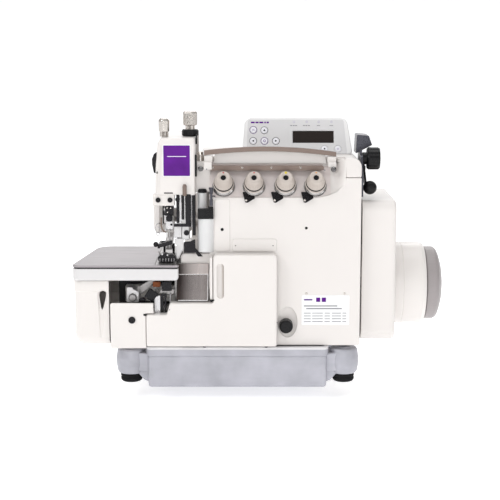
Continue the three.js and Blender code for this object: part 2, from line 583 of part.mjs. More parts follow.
function motorCover() {
  const { x0, x1, halfY, z0, z1 } = MOTOR_COVER;
  const face = (inset) => [[-halfY + inset, z0 + inset, 14], [halfY - inset, z0 + inset, 14],
    [halfY - inset, z1 - inset, 14], [-halfY + inset, z1 - inset, 14]];
  const shell = prism('x', face(0), x0, x1).subtract(prism('x', face(SHELL), x0 - 1, x1 - SHELL));
  return shell.subtract(rod('x', 30, x1 - 6, x1 + 1, [0, SHAFT_Z], 24));
}
part('motor_cover', motorCover(), cream);
part('control_board', box(176, 177.6, -62, 62, 168, 236), boardGreen);

const [hx0, hx1] = HOUSING_X;
part('motor_housing', turned('x', [[30, hx0], [HOUSING_R, hx0], [HOUSING_R, hx1 - 6], [HOUSING_R - 2, hx1],
  [50, hx1], [50, hx0 + 4], [30, hx0 + 4]], [0, SHAFT_Z], 32), cream);
part('motor_stator', ring('x', 30.5, 49.7, hx0 + 8, hx1 - 8, [0, SHAFT_Z], 32), copper);
part('motor_rotor', ring('x', SHAFT_R + GAP, 29.8, hx0 + 8, hx1 - 8, [0, SHAFT_Z], 28), steel);
part('handwheel', turned('x', [[SHAFT_R + GAP, WHEEL_X[0]], [WHEEL_R, WHEEL_X[0]], [WHEEL_R, 270],
  [WHEEL_R - 3, 272.5], [42, 273.5], [38, 276], [24, 280], [0, WHEEL_X[1]], [0, 272.3],
  [SHAFT_R + GAP, 272.3]],
[0, SHAFT_Z], 32), wheelGrey);

// ---------------------------------------------------------------- adjusters on the body
const buttonBack = FRONT + WALL + 2;
part('stitch_button', turned('y',
  [[0, BUTTON.face], [BUTTON.r - 1, BUTTON.face], [BUTTON.r, BUTTON.face + 1], [BUTTON.r, buttonBack],
    [0, buttonBack]],
  [BUTTON.x, BUTTON.z], 24), blackPlastic);

function feedBracket() {
  const plate = prism('x', [[-72, 252, 4], [-12, 252, 4], [-12, 306], [-58, 306, 6], [-72, 280]],
    162.6, 165.6);
  const block = prism('y', [[158.7, ROOF_Z + 0.6], [180.6, ROOF_Z + 12], [176, 329.5, 2], [160, 331, 2]],
    -28, 8);
  const neck = box(162.6, 165.6, -46, -16, 300, 312);
  const boss = rod('x', 6.5, 162.8, 168, LEVER_PIVOT, 16);
  const stem = rod('x', 4, 162.8, 186, [LOCK.y, LOCK.z], 12);
  const axle = rod('x', AXLE_R, 163, 172.4, LEVER_PIVOT, 12);
  return join(plate, block, neck, boss, stem, axle);
}
part('feed_lever_bracket', feedBracket(), steel);

part('feed_lock_knob', turned('x', [[4.3, 166], [8, 166], [8, 171.6], [13.5, 172], [LOCK.r, 173.6],
  [LOCK.r, 187], [13.5, 189], [0, 189], [0, 186.4], [4.3, 186.4]], [LOCK.y, LOCK.z], 24), blackPlastic);

function feedLever() {
  const [y, z] = LEVER_PIVOT;
  const arm = prism('x', [[y + 8, z + 1, 6], [y - 2, z + 7, 6], [BALL.y - 5, BALL.z + 4, 4],
    [BALL.y - 3, BALL.z - 5, 4], [y + 4, z - 8, 6]], 168.4, 171);
  const sphere = new THREE.SphereGeometry(BALL.r, 12, 8).rotateX(Math.PI / 2);
  const ball = solid(sphere.translate(BALL.x, BALL.y, BALL.z));
  return join(arm, ball).subtract(rod('x', AXLE_R + GAP, 160, 174, LEVER_PIVOT, 12));
}
part('feed_lever', feedLever(), blackPlastic);

export default group;
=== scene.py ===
# %% [markdown]
# # An industrial overlock machine, dressed piece by piece
#
# The engineering model of the machine is already packed: it says where every part is and how it moves.
# This notebook gives that model its looks. Castings get rounded edges and a stove-enamel finish, turned
# parts get their knurls and grooves, and the small hardware that makes a sewing head readable, such as
# screws, thread guides and labels, is added where the frame says it belongs.
#
# Every new surface is worked out with numpy as a grid of points, in millimetres, and scaled to metres
# only when it becomes a mesh.

# %% Load the frame
import json
import math

import bmesh
import bpy
import numpy as np
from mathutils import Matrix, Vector

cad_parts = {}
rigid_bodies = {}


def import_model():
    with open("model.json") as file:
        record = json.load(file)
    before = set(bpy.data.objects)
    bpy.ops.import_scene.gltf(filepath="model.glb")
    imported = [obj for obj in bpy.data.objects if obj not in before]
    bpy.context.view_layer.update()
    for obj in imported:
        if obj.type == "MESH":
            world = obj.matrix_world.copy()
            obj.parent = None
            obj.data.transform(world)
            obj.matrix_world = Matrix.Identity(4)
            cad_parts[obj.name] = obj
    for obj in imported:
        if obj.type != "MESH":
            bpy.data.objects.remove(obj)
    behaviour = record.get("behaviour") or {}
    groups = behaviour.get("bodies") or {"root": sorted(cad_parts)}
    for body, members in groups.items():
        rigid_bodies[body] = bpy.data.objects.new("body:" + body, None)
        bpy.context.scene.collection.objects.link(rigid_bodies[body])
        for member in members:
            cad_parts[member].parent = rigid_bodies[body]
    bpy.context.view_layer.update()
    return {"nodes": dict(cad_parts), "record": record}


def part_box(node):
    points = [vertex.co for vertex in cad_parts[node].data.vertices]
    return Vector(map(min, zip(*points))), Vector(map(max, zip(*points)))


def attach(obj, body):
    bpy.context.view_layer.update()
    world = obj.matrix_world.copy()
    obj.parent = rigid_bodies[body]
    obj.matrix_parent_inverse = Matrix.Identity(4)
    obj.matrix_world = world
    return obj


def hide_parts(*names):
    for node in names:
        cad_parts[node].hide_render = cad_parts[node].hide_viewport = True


MM = 0.001
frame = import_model()
nodes = frame["nodes"]
body_of = {n: body for body, members in frame["record"]["behaviour"]["bodies"].items() for n in members}
slot_of = {s["node"]: s["material_slot"] for s in frame["record"]["subparts"]}


def cad(node):
    """Lowest and highest corner of a CAD node, in millimetres."""
    low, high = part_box(node)
    return np.array(low) / MM, np.array(high) / MM


# %% [markdown]
# ## Camera, floor and light
#
# A catalogue view: a long lens a little above the machine, so verticals stay nearly parallel. The floor is a
# sweep, a sheet of paper that runs back and curves up, so no horizon line shows. The light is a pale
# room with five soft boxes. We use areas rather than points because enamel and plated steel only look
# like themselves when they have something broad to reflect.

# %% Camera
CAMERA_PLACE = (0.01684, -1.6958, 0.4565)
CAMERA_PITCH = math.radians(90 - 9.6)
CAMERA_LENS = 89.64

lens = bpy.data.cameras.new("camera")
lens.lens = CAMERA_LENS
lens.sensor_width = 36
camera = bpy.data.objects.new("camera", lens)
camera.location = CAMERA_PLACE
camera.rotation_euler = (CAMERA_PITCH, 0, 0)
bpy.context.scene.collection.objects.link(camera)
bpy.context.scene.camera = camera
bpy.context.scene.view_settings.view_transform = "Standard"


# %% Light
def soft_box(name, place, aim, size, power, tint=(1, 1, 1)):
    """A rectangular area light at place, turned to look at aim."""
    light = bpy.data.lights.new(name, "AREA")
    light.shape = "RECTANGLE"
    light.size, light.size_y = size
    light.energy = power
    light.color = tint
    lamp = bpy.data.objects.new(name, light)
    lamp.location = place
    lamp.rotation_euler = (Vector(aim) - Vector(place)).to_track_quat("-Z", "Y").to_euler()
    bpy.context.scene.collection.objects.link(lamp)
    return lamp


MIDDLE = (0.03, 0.0, 0.18)
soft_box("key_left", (-1.4, -1.2, 1.5), MIDDLE, (1.0, 1.0), 13)
soft_box("fill_right", (1.6, -1.5, 0.9), MIDDLE, (0.7, 1.4), 6)
soft_box("top", (0.0, 0.1, 1.9), MIDDLE, (1.6, 1.2), 12)
soft_box("front", (-0.2, -2.6, 0.75), MIDDLE, (1.6, 0.7), 11)
soft_box("rim_back", (0.3, 1.5, 1.2), MIDDLE, (1.6, 0.8), 7)

world = bpy.data.worlds.new("white_room")
world.use_nodes = True
# The room's walls are darker than its ceiling, which gives plated steel something to reflect.
ROOM = ((0.0, 0.50), (0.44, 0.46), (0.52, 0.16), (0.60, 0.24), (0.74, 0.50), (1.0, 0.60))
tree = world.node_tree
direction = tree.nodes.new("ShaderNodeTexCoord")
split = tree.nodes.new("ShaderNodeSeparateXYZ")
height = tree.nodes.new("ShaderNodeMapRange")
height.inputs["From Min"].default_value = -1
walls = tree.nodes.new("ShaderNodeValToRGB")
while len(walls.color_ramp.elements) < len(ROOM):
    walls.color_ramp.elements.new(0.5)
for element, (place, level) in zip(walls.color_ramp.elements, ROOM):
    element.position = place
    element.color = (level, level, level, 1)
tree.links.new(direction.outputs["Generated"], split.inputs["Vector"])
tree.links.new(split.outputs["Z"], height.inputs["Value"])
tree.links.new(height.outputs["Result"], walls.inputs["Fac"])
tree.links.new(walls.outputs["Color"], tree.nodes["Background"].inputs["Color"])
tree.nodes["Background"].inputs["Strength"].default_value = 1.0
bpy.context.scene.world = world


# %% [markdown]
# ## Turning numbers into meshes
#
# Five small tools make nearly everything. `grid` joins a rectangle of points into quads. `loft` stacks
# closed loops, so a casting can change its outline as it rises. `slab` is a plate of any outline with softly
# rounded edges. `turned` spins a profile, as a lathe does, and `tube` carries a circle along a path. Each
# returns points and faces, so several shapes can be merged into one piece before it becomes a mesh.

# %% Shape tools
AXIS_ORDER = {"x": (2, 0, 1), "y": (0, 2, 1), "z": (0, 1, 2)}


def to_axis(points, axis):
    """Local (u, v, depth) to row axes: x keeps (Y, Z, X), y keeps (X, Z, Y), z keeps (X, Y, Z)."""
    return np.asarray(points, float)[..., AXIS_ORDER[axis]]


def grid(points, wrap_rows=False, wrap_cols=False):
    """Quads between neighbours of an R x C x 3 array, joined end to end where it wraps."""
    points = np.asarray(points, float)
    rows, cols = points.shape[:2]
    index = np.arange(rows * cols).reshape(rows, cols)
    if wrap_rows:
        index = np.vstack([index, index[:1]])
    if wrap_cols:
        index = np.hstack([index, index[:, :1]])
    quads = np.stack([index[:-1, :-1], index[:-1, 1:], index[1:, 1:], index[1:, :-1]], -1)
    return points.reshape(-1, 3), quads.reshape(-1, 4).tolist()


def loft(loops):
    """Closed loops of equal length, R x C x 3, joined in order, with a flat cap on the first and last."""
    points, faces = grid(loops, wrap_cols=True)
    rows, cols = np.asarray(loops).shape[:2]
    last = (rows - 1) * cols
    faces.append(list(range(cols)))
    faces.append(list(range(last, last + cols)))
    return points, faces


def merge(*shapes):
    """Several (points, faces) as one."""
    points, faces, start = [], [], 0
    for p, f in shapes:
        points.append(np.asarray(p, float))
        faces += [[i + start for i in face] for face in f]
        start += len(p)
    return np.vstack(points), faces


def rounded(corners, steps=7):
    """Closed outline through corner points; a third number rounds that corner with an arc of that radius."""
    out = []
    count = len(corners)
    for i, corner in enumerate(corners):
        here = np.array(corner[:2], float)
        radius = corner[2] if len(corner) > 2 else 0
        before = np.array(corners[i - 1][:2], float) - here
        after = np.array(corners[(i + 1) % count][:2], float) - here
        before /= np.linalg.norm(before)
        after /= np.linalg.norm(after)
        half = math.acos(np.clip(before @ after, -1, 1)) / 2
        if not radius or half < 1e-3 or abs(half - math.pi / 2) < 1e-3:
            out.append(here)
            continue
        middle = here + (before + after) / np.linalg.norm(before + after) * radius / math.sin(half)
        start = here + before * radius / math.tan(half) - middle
        end = here + after * radius / math.tan(half) - middle
        turn = math.atan2(start[0] * end[1] - start[1] * end[0], start @ end)
        for a in np.linspace(0, turn, steps):
            c, s = math.cos(a), math.sin(a)
            out.append(middle + [start[0] * c - start[1] * s, start[0] * s + start[1] * c])
    return np.array(out)


def inset(outline, amount):
    """An outline moved inwards by amount along the mitre of its two neighbouring edges."""
    p = np.asarray(outline, float)
    ahead = np.roll(p, -1, 0) - p
    ahead /= np.linalg.norm(ahead, axis=1)[:, None] + 1e-12
    behind = np.roll(ahead, 1, 0)
    area = 0.5 * np.sum(p[:, 0] * np.roll(p[:, 1], -1) - np.roll(p[:, 0], -1) * p[:, 1])
    side = 1.0 if area > 0 else -1.0
    n0 = side * np.stack([-behind[:, 1], behind[:, 0]], 1)
    n1 = side * np.stack([-ahead[:, 1], ahead[:, 0]], 1)
    scale = 1 + np.sum(n0 * n1, 1)
    return p + (n0 + n1) / np.maximum(scale, 0.35)[:, None] * amount


def shrunk(corners, amount):
    """A corner list moved inwards by amount, its corner radii shrunk with it."""
    flat = inset([c[:2] for c in corners], amount)
    return [(u, v, max((c[2] if len(c) > 2 else 0) - amount, 0)) for (u, v), c in zip(flat, corners)]


def stack(outline, rings, axis="z"):
    """An outline carried along axis through rings of (how far it is drawn in, place)."""
    loops = []
    for draw_in, depth in rings:
        flat = inset(outline, draw_in)
        loops.append(np.column_stack([flat, np.full(len(flat), depth)]))
    points, faces = loft(np.array(loops))
    return to_axis(points, axis), faces


def quarter(radius, place, sign, steps=5):
    """Rings of a quarter-round rim: from the face at place, sign gives the way into the plate."""
    angles = np.linspace(math.pi / 2, 0, steps)
    return [(radius * (1 - math.cos(a)), place + sign * radius * (1 - math.sin(a))) for a in angles]


def slab(corners, axis, start, stop, edge=1.0, edge_start=None, steps=7):
    """A plate: the outline runs from start to stop along axis, and each rim is a quarter-round.

    Ring k of a rim lies edge * (1 - sin a) from the face and is drawn in by edge * (1 - cos a)."""
    outline = rounded(corners, steps) if isinstance(corners, list) else np.asarray(corners, float)
    first = edge if edge_start is None else edge_start
    rings = quarter(first, start, 1) if first > 0 else [(0, start)]
    rings += quarter(edge, stop, -1)[::-1] if edge > 0 else [(0, stop)]
    return stack(outline, rings, axis)


def rectangle(u0, v0, u1, v1, radius):
    """The corner list of a rectangle whose four corners share one radius."""
    return [(u0, v0, radius), (u1, v0, radius), (u1, v1, radius), (u0, v1, radius)]


def block(low, high, edge=1.0, axis="z", corner=None):
    """A rectangular block from corner low to corner high, with rounded corners and rims."""
    order = {"x": [1, 2, 0], "y": [0, 2, 1], "z": [0, 1, 2]}[axis]
    u0, v0, d0 = np.array(low, float)[order]
    u1, v1, d1 = np.array(high, float)[order]
    return slab(rectangle(u0, v0, u1, v1, edge if corner is None else corner), axis, d0, d1, edge)


def turned(profile, axis, centre=(0, 0), sides=48, ripple=None):
    """A profile of (radius, place) points spun about a line along axis through centre.

    ripple(angle, row share) may add to the radius, which is how knurls and ribs are cut."""
    profile = np.array(profile, float)
    angle = np.linspace(0, 2 * math.pi, sides, endpoint=False)
    radius = np.repeat(profile[:, :1], sides, 1)
    if ripple:
        radius = radius + ripple(angle[None, :], profile[:, 1:2]) * (radius > 0.01)
    loops = np.stack([centre[0] + radius * np.cos(angle), centre[1] + radius * np.sin(angle),
                      np.repeat(profile[:, 1:2], sides, 1)], -1)
    points, faces = grid(loops, wrap_cols=True)
    return to_axis(points, axis), faces


def soft_profile(corners, steps=4):
    """An open lathe profile whose inner points carry a third number, the radius that rounds them."""
    return rounded([corners[0][:2], *corners[1:-1], corners[-1][:2]], steps)


def ball_profile(radius, place, steps):
    """A lathe profile for a ball: radius times the cosine and sine of an angle from -90 to 90 degrees."""
    return [(radius * math.cos(a), place + radius * math.sin(a)) for a in np.linspace(-math.pi / 2,
                                                                                      math.pi / 2, steps)]


def tube(path, radius, sides=10):
    """A round bar along a path: circles square to the path's direction, carried along without twisting."""
    path = np.asarray(path, float)
    ahead = np.gradient(path, axis=0)
    ahead /= np.linalg.norm(ahead, axis=1)[:, None]
    up = np.array([0.0, 0.0, 1.0]) if abs(ahead[0, 2]) < 0.9 else np.array([1.0, 0.0, 0.0])
    angle = np.linspace(0, 2 * math.pi, sides, endpoint=False)
    loops = []
    for place, direction in zip(path, ahead):
        side = np.cross(direction, up)
        side /= np.linalg.norm(side)
        up = np.cross(side, direction)
        loops.append(place + radius * (np.cos(angle)[:, None] * side + np.sin(angle)[:, None] * up))
    return loft(np.array(loops))


def smooth_path(points, count=24):
    """A Catmull-Rom curve through given points."""
    p = np.asarray(points, float)
    p = np.vstack([2 * p[0] - p[1], p, 2 * p[-1] - p[-2]])
    t = np.linspace(0, len(p) - 3 - 1e-9, count)
    i = t.astype(int)
    f = (t - i)[:, None]
    a, b, c, d = p[i], p[i + 1], p[i + 2], p[i + 3]
    return 0.5 * (2 * b + (c - a) * f + (2 * a - 5 * b + 4 * c - d) * f**2 + (3 * b - a - 3 * c + d) * f**3)


def leaned(shape, origin, tilt):
    """A shape turned about X by tilt, then moved so its own origin lies at origin."""
    points, faces = shape
    x, y, z = np.asarray(points, float).T
    c, s = math.cos(tilt), math.sin(tilt)
    return np.column_stack([x, y * c - z * s, y * s + z * c]) + np.asarray(origin, float), faces


def ease(t):
    """Smooth step from 0 to 1."""
    t = np.clip(t, 0, 1)
    return t * t * (3 - 2 * t)


# %% [markdown]
# A mesh becomes a *piece* when it has a finish and a body to ride on. Shading is smooth
# except across sharp edges, and the Weighted Normal modifier lets the large flat faces win, so a rounded rim
# doesn't smear its shading over the plate beside it.

# %% Making pieces
SHARP = math.radians(38)


def piece(name, shape, body, material, replaces=(), sharp=SHARP):
    """Makes one mesh object from (points, faces) in millimetres and hands it to the frame."""
    mesh = as_mesh(shape, name)
    obj = bpy.data.objects.new(name, mesh)
    bpy.context.scene.collection.objects.link(obj)
    return dress(obj, body, material, replaces, sharp)


def dress(obj, body, material, replaces=(), sharp=SHARP):
    """Gives a mesh object its shading, finish and body."""
    mesh = obj.data
    mesh.polygons.foreach_set("use_smooth", np.ones(len(mesh.polygons), bool))
    mesh.set_sharp_from_angle(angle=sharp)
    weighted = obj.modifiers.new("weighted_normals", "WEIGHTED_NORMAL")
    weighted.keep_sharp = True
    mesh.materials.clear()
    mesh.materials.append(material)
    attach(obj, body)
    if replaces:
        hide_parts(*replaces)
    return obj


def as_mesh(shape, name="scratch"):
    """Points and faces as a Blender mesh, doubles merged and faces turned outwards."""
    points, faces = shape
    mesh = bpy.data.meshes.new(name)
    mesh.from_pydata((np.asarray(points) * MM).tolist(), [], faces)
    work = bmesh.new()
    work.from_mesh(mesh)
    bmesh.ops.remove_doubles(work, verts=work.verts, dist=1e-6)
    bmesh.ops.dissolve_degenerate(work, edges=work.edges, dist=1e-6)
    bmesh.ops.recalc_face_normals(work, faces=work.faces)
    work.to_mesh(mesh)
    work.free()
    return mesh


def as_shape(work):
    """The points and faces of a bmesh, in millimetres; the bmesh is freed."""
    work.verts.index_update()
    points = np.array([v.co for v in work.verts]) / MM
    faces = [[v.index for v in face.verts] for face in work.faces]
    work.free()
    return points, faces


def carved(shape, *cutters):
    """A shape with closed shapes cut out of it by an exact boolean, evaluated once."""
    body = bpy.data.objects.new("scratch", as_mesh(shape))
    bpy.context.scene.collection.objects.link(body)
    tools = []
    for cutter in cutters:
        tool = bpy.data.objects.new("cutter", as_mesh(cutter))
        bpy.context.scene.collection.objects.link(tool)
        boolean = body.modifiers.new("cut", "BOOLEAN")
        boolean.object = tool
        boolean.operation = "DIFFERENCE"
        boolean.solver = "EXACT"
        tools.append(tool)
    result = bpy.data.meshes.new_from_object(body.evaluated_get(bpy.context.evaluated_depsgraph_get()))
    work = bmesh.new()
    work.from_mesh(result)
    for obj in (body, *tools):
        mesh = obj.data
        bpy.data.objects.remove(obj)
        bpy.data.meshes.remove(mesh)
    bpy.data.meshes.remove(result)
    if not work.verts:
        print("carved: an empty result from a shape of", len(shape[0]), "points")
    return as_shape(work)


def cad_shape(node):
    """A CAD node's own surface, its loose triangles joined and flat neighbours made one face."""
    work = bmesh.new()
    work.from_mesh(frame["nodes"][node].data)
    bmesh.ops.remove_doubles(work, verts=work.verts, dist=2e-6)
    bmesh.ops.dissolve_limit(work, angle_limit=math.radians(0.6), verts=work.verts, edges=work.edges)
    return as_shape(work)


def softened(shape, radius, shortest=10.0, steepest=35, segments=3):
    """A shape whose long outer edges are rounded; edges shorter than shortest are left as they are."""
    work = bmesh.new()
    work.from_mesh(as_mesh(shape))
    edges = [e for e in work.edges if len(e.link_faces) == 2 and e.calc_length() > shortest * MM
             and e.calc_face_angle(0) > math.radians(steepest) and e.is_convex]
    bmesh.ops.bevel(work, geom=edges, offset=radius * MM, segments=segments, profile=0.5, affect="EDGES",
                    clamp_overlap=False, miter_outer="ARC")
    return as_shape(work)


# %% [markdown]
# ## Finishes
#
# Each finish is one short recipe around a Principled shader. Colour is broken up by a broad, faint
# noise, because no real coat is perfectly even; roughness follows a second noise; and a bump gives the skin:
# orange peel for enamel, sand grain for the raw casting, long fine scratches for brushed sheet.

# %% Finish tools
def finish(name, tone, rough, metal=0.0, vary=0.04, vary_scale=9.0, grain=0.0, grain_scale=900.0,
           stretch=(1, 1, 1), rough_vary=0.05, coat=0.0, gleam=0.5, second=None, patch_stretch=(1, 1, 1),
           fade=None):
    """A Principled material whose colour, roughness and bump are broken up by noise in Object coordinates.

    vary mixes towards a darker tone over patches of 1 / vary_scale metres, or second gives that tone. grain
    is the bump's height in millimetres, and stretch squeezes its coordinates, so (0.05, 1, 1) gives scratches
    along X; patch_stretch does the same to the patches. fade is (axis, start, stop, tone): the colour is tone
    at start and the finish's own at stop, in millimetres."""
    material = bpy.data.materials.new(name)
    material.use_nodes = True
    tree = material.node_tree
    shader = tree.nodes["Principled BSDF"]
    shader.inputs["Metallic"].default_value = metal
    shader.inputs["Coat Weight"].default_value = coat
    shader.inputs["Specular IOR Level"].default_value = gleam
    place = tree.nodes.new("ShaderNodeTexCoord")

    patches = tree.nodes.new("ShaderNodeTexNoise")
    patches.inputs["Scale"].default_value = vary_scale
    patches.inputs["Detail"].default_value = 5
    broad = tree.nodes.new("ShaderNodeMapping")
    broad.inputs["Scale"].default_value = patch_stretch
    tree.links.new(place.outputs["Object"], broad.inputs["Vector"])
    tree.links.new(broad.outputs["Vector"], patches.inputs["Vector"])
    ramp = tree.nodes.new("ShaderNodeValToRGB")
    dark = second or tuple(c * (1 - vary * 2) for c in tone)
    ramp.color_ramp.elements[0].position = 0.3
    ramp.color_ramp.elements[0].color = (*dark, 1)
    ramp.color_ramp.elements[1].position = 0.7
    ramp.color_ramp.elements[1].color = (*tone, 1)
    tree.links.new(patches.outputs["Fac"], ramp.inputs["Fac"])
    colour = ramp.outputs["Color"]
    if fade:
        axis, start, stop, start_tone = fade
        split = tree.nodes.new("ShaderNodeSeparateXYZ")
        tree.links.new(place.outputs["Object"], split.inputs["Vector"])
        along = tree.nodes.new("ShaderNodeMapRange")
        along.interpolation_type = "SMOOTHSTEP"
        along.inputs["From Min"].default_value = start * MM
        along.inputs["From Max"].default_value = stop * MM
        tree.links.new(split.outputs[axis], along.inputs["Value"])
        blend = tree.nodes.new("ShaderNodeMixRGB")
        blend.inputs["Color1"].default_value = (*start_tone, 1)
        tree.links.new(along.outputs["Result"], blend.inputs["Fac"])
        tree.links.new(colour, blend.inputs["Color2"])
        colour = blend.outputs["Color"]
    tree.links.new(colour, shader.inputs["Base Color"])

    mapping = tree.nodes.new("ShaderNodeMapping")
    mapping.inputs["Scale"].default_value = stretch
    tree.links.new(place.outputs["Object"], mapping.inputs["Vector"])
    fine = tree.nodes.new("ShaderNodeTexNoise")
    fine.inputs["Scale"].default_value = grain_scale
    fine.inputs["Detail"].default_value = 3
    tree.links.new(mapping.outputs["Vector"], fine.inputs["Vector"])
    spread = tree.nodes.new("ShaderNodeMapRange")
    spread.inputs["From Min"].default_value = 0.3
    spread.inputs["From Max"].default_value = 0.7
    spread.inputs["To Min"].default_value = max(0.02, rough - rough_vary)
    spread.inputs["To Max"].default_value = min(1.0, rough + rough_vary)
    tree.links.new(fine.outputs["Fac"], spread.inputs["Value"])
    tree.links.new(spread.outputs["Result"], shader.inputs["Roughness"])
    if grain:
        bump = tree.nodes.new("ShaderNodeBump")
        bump.inputs["Distance"].default_value = grain * MM
        bump.inputs["Strength"].default_value = 1.0
        tree.links.new(fine.outputs["Fac"], bump.inputs["Height"])
        tree.links.new(bump.outputs["Normal"], shader.inputs["Normal"])
    return material


# %% The finishes of this machine
enamel = finish("cream_enamel", (0.76, 0.725, 0.70), 0.36, vary=0.012, grain=0.02, grain_scale=420, coat=0.15)
# A darker, rosier copy of the cream enamel for the tension panel, which is cream paint like the rest: painted
# shade.
enamel_painted_shade = finish("cream_enamel_painted_shade", (0.735, 0.665, 0.645), 0.42, vary=0.02, grain=0.02,
                     grain_scale=420)
enamel_grey = finish("pale_grey_enamel", (0.70, 0.70, 0.70), 0.4, vary=0.02, grain=0.02, grain_scale=420)
cast_grey = finish("sand_cast_aluminium", (0.50, 0.50, 0.55), 0.48, metal=0.4, vary=0.14, vary_scale=22,
                   grain=0.12, grain_scale=170, stretch=(0.25, 1, 1), rough_vary=0.1)
cast_light = finish("machined_cast_rim", (0.74, 0.73, 0.74), 0.4, metal=0.3, vary=0.08, vary_scale=30,
                    grain=0.05, grain_scale=320, rough_vary=0.08)
rubber_black = finish("moulded_rubber", (0.009, 0.009, 0.010), 0.8, vary=0.2, grain=0.05, grain_scale=700,
                      gleam=0.2)
plastic_black = finish("black_moulding", (0.008, 0.008, 0.009), 0.3, vary=0.15, grain=0.02, grain_scale=900,
                       gleam=0.22)
black_oxide = finish("black_oxide_steel", (0.012, 0.011, 0.014), 0.26, metal=0.35, vary=0.2, grain=0.01,
                     grain_scale=900, rough_vary=0.1, gleam=0.35)
nickel = finish("nickel_plate", (0.66, 0.62, 0.58), 0.22, metal=1.0, vary=0.05, grain=0.01, grain_scale=600,
                rough_vary=0.07)
bright_steel = finish("ground_steel", (0.60, 0.59, 0.60), 0.24, metal=1.0, vary=0.08, grain=0.012,
                      grain_scale=500, stretch=(1, 1, 0.15), rough_vary=0.08)
dull_steel = finish("machined_steel", (0.40, 0.385, 0.38), 0.36, metal=1.0, vary=0.12, grain=0.02,
                    grain_scale=420, rough_vary=0.1)
bronze_bar = finish("bronze_grey_bar", (0.235, 0.180, 0.155), 0.34, metal=0.6, vary=0.05, grain=0.012,
                    grain_scale=260, stretch=(0.06, 1, 1), rough_vary=0.08)
plate_top = finish("ground_cloth_plate", (0.36, 0.335, 0.345), 0.38, metal=0.5, vary=0.05, grain=0.006,
                   grain_scale=300, stretch=(0.08, 1, 1), rough_vary=0.06)
plate_side = finish("bright_plate_skirt", (0.66, 0.65, 0.65), 0.34, metal=0.45, vary=0.015, vary_scale=6,
                    grain=0.001, grain_scale=300, stretch=(0.05, 1, 1), rough_vary=0.05)
# The fade darkens the chute sheet towards X -79, its left end: painted shade. Its long streaks vary at
# random.
chute_steel = finish("brushed_chute_sheet", (0.50, 0.455, 0.445), 0.28, metal=0.9, vary_scale=40, grain=0.012,
                     grain_scale=240, stretch=(1, 0.05, 0.05), rough_vary=0.1, second=(0.34, 0.30, 0.29),
                     patch_stretch=(1, 0.05, 0.05), fade=("X", -79, -50, (0.06, 0.045, 0.042)))
# A darker copy of the chute sheet for its upper lip, which also fades darker towards the left: painted shade.
chute_painted_shade = finish("chute_sheet_painted_shade", (0.34, 0.31, 0.30), 0.3, metal=0.9, vary_scale=40, grain=0.012,
                    grain_scale=240, stretch=(1, 0.05, 0.05), second=(0.24, 0.21, 0.20),
                    patch_stretch=(1, 0.05, 0.05), fade=("X", -80, -48, (0.03, 0.024, 0.022)))
wheel_grey = finish("handwheel_moulding", (0.34, 0.31, 0.31), 0.42, vary=0.04, grain=0.025, grain_scale=500)
panel_shell = finish("panel_moulding", (0.78, 0.775, 0.775), 0.45, vary=0.015, grain=0.02, grain_scale=700)
panel_film = finish("panel_membrane", (0.655, 0.65, 0.655), 0.33, vary=0.012, grain=0.01, grain_scale=900)
window_dark = finish("tinted_window", (0.021, 0.015, 0.013), 0.14, vary=0.1, gleam=0.25)
key_white = finish("key_dome", (0.80, 0.80, 0.84), 0.4, vary=0.01, grain=0.01, grain_scale=800)
key_edge = finish("key_ring_print", (0.09, 0.09, 0.10), 0.45)
disc_nickel = finish("tension_disc_nickel", (0.50, 0.48, 0.47), 0.22, metal=1.0, vary=0.06, vary_scale=60,
                     grain=0.004, grain_scale=900)
screw_dark = finish("dark_screw_nickel", (0.16, 0.155, 0.155), 0.16, metal=1.0, vary=0.08, vary_scale=90)
lamp_clear = finish("clear_lamp", (0.60, 0.585, 0.64), 0.25, vary=0.02)
# The cream enamel darkening to brown towards X -17.2, the groove's right edge: painted shade.
groove_shade_enamel = finish("cream_enamel_groove", (0.76, 0.725, 0.70), 0.36, vary=0.012, grain=0.02,
                       grain_scale=420, fade=("X", -17.2, -21.5, (0.36, 0.31, 0.28)))
blued_steel = finish("blued_steel", (0.10, 0.10, 0.12), 0.3, metal=0.7, vary=0.2, grain=0.01, grain_scale=600)
print_violet = finish("violet_print", (0.10, 0.006, 0.22), 0.5, vary=0.02, gleam=0.2)
label_violet = finish("violet_label", (0.125, 0.010, 0.275), 0.45, vary=0.14, vary_scale=55, gleam=0.18)
label_white = finish("white_label_film", (0.86, 0.86, 0.87), 0.4, vary=0.01)
print_grey = finish("grey_print", (0.25, 0.25, 0.27), 0.5)
print_black = finish("black_print", (0.006, 0.006, 0.008), 0.5, gleam=0.1)
knob_ivory = finish("ivory_moulding", (0.53, 0.47, 0.425), 0.42, vary=0.03, grain=0.02, grain_scale=700)
dot_red = finish("red_dot", (0.45, 0.02, 0.03), 0.4)
dot_yellow = finish("yellow_dot", (0.62, 0.5, 0.03), 0.4)
dot_orange = finish("orange_dot", (0.75, 0.36, 0.10), 0.4)
felt_rust = finish("oiling_felt", (0.30, 0.09, 0.03), 0.9, vary=0.15, vary_scale=300, grain=0.2,
                   grain_scale=1500)
# Near-black for a sheet at the back of the looper cavity: painted shadow.
hollow_painted_shadow = finish("painted_cavity_shadow", (0.012, 0.011, 0.012), 0.5, gleam=0.3, metal=0.0, vary=0.25,
                     vary_scale=40, grain=0.05, grain_scale=300)
board_green = finish("circuit_board", (0.02, 0.10, 0.05), 0.4, vary=0.2, vary_scale=120)
copper_wire = finish("varnished_winding", (0.42, 0.16, 0.06), 0.35, metal=0.9, vary=0.15, grain=0.08,
                     grain_scale=500, stretch=(0.1, 1, 1))
floor_paper = finish("paper_sweep", (0.88, 0.88, 0.885), 0.8, vary=0.003, vary_scale=1.5)
glow = floor_paper.node_tree.nodes["Principled BSDF"]
glow.inputs["Emission Color"].default_value = (1, 1, 1, 1)
glow.inputs["Emission Strength"].default_value = 0.5
print("finishes:", len(bpy.data.materials))


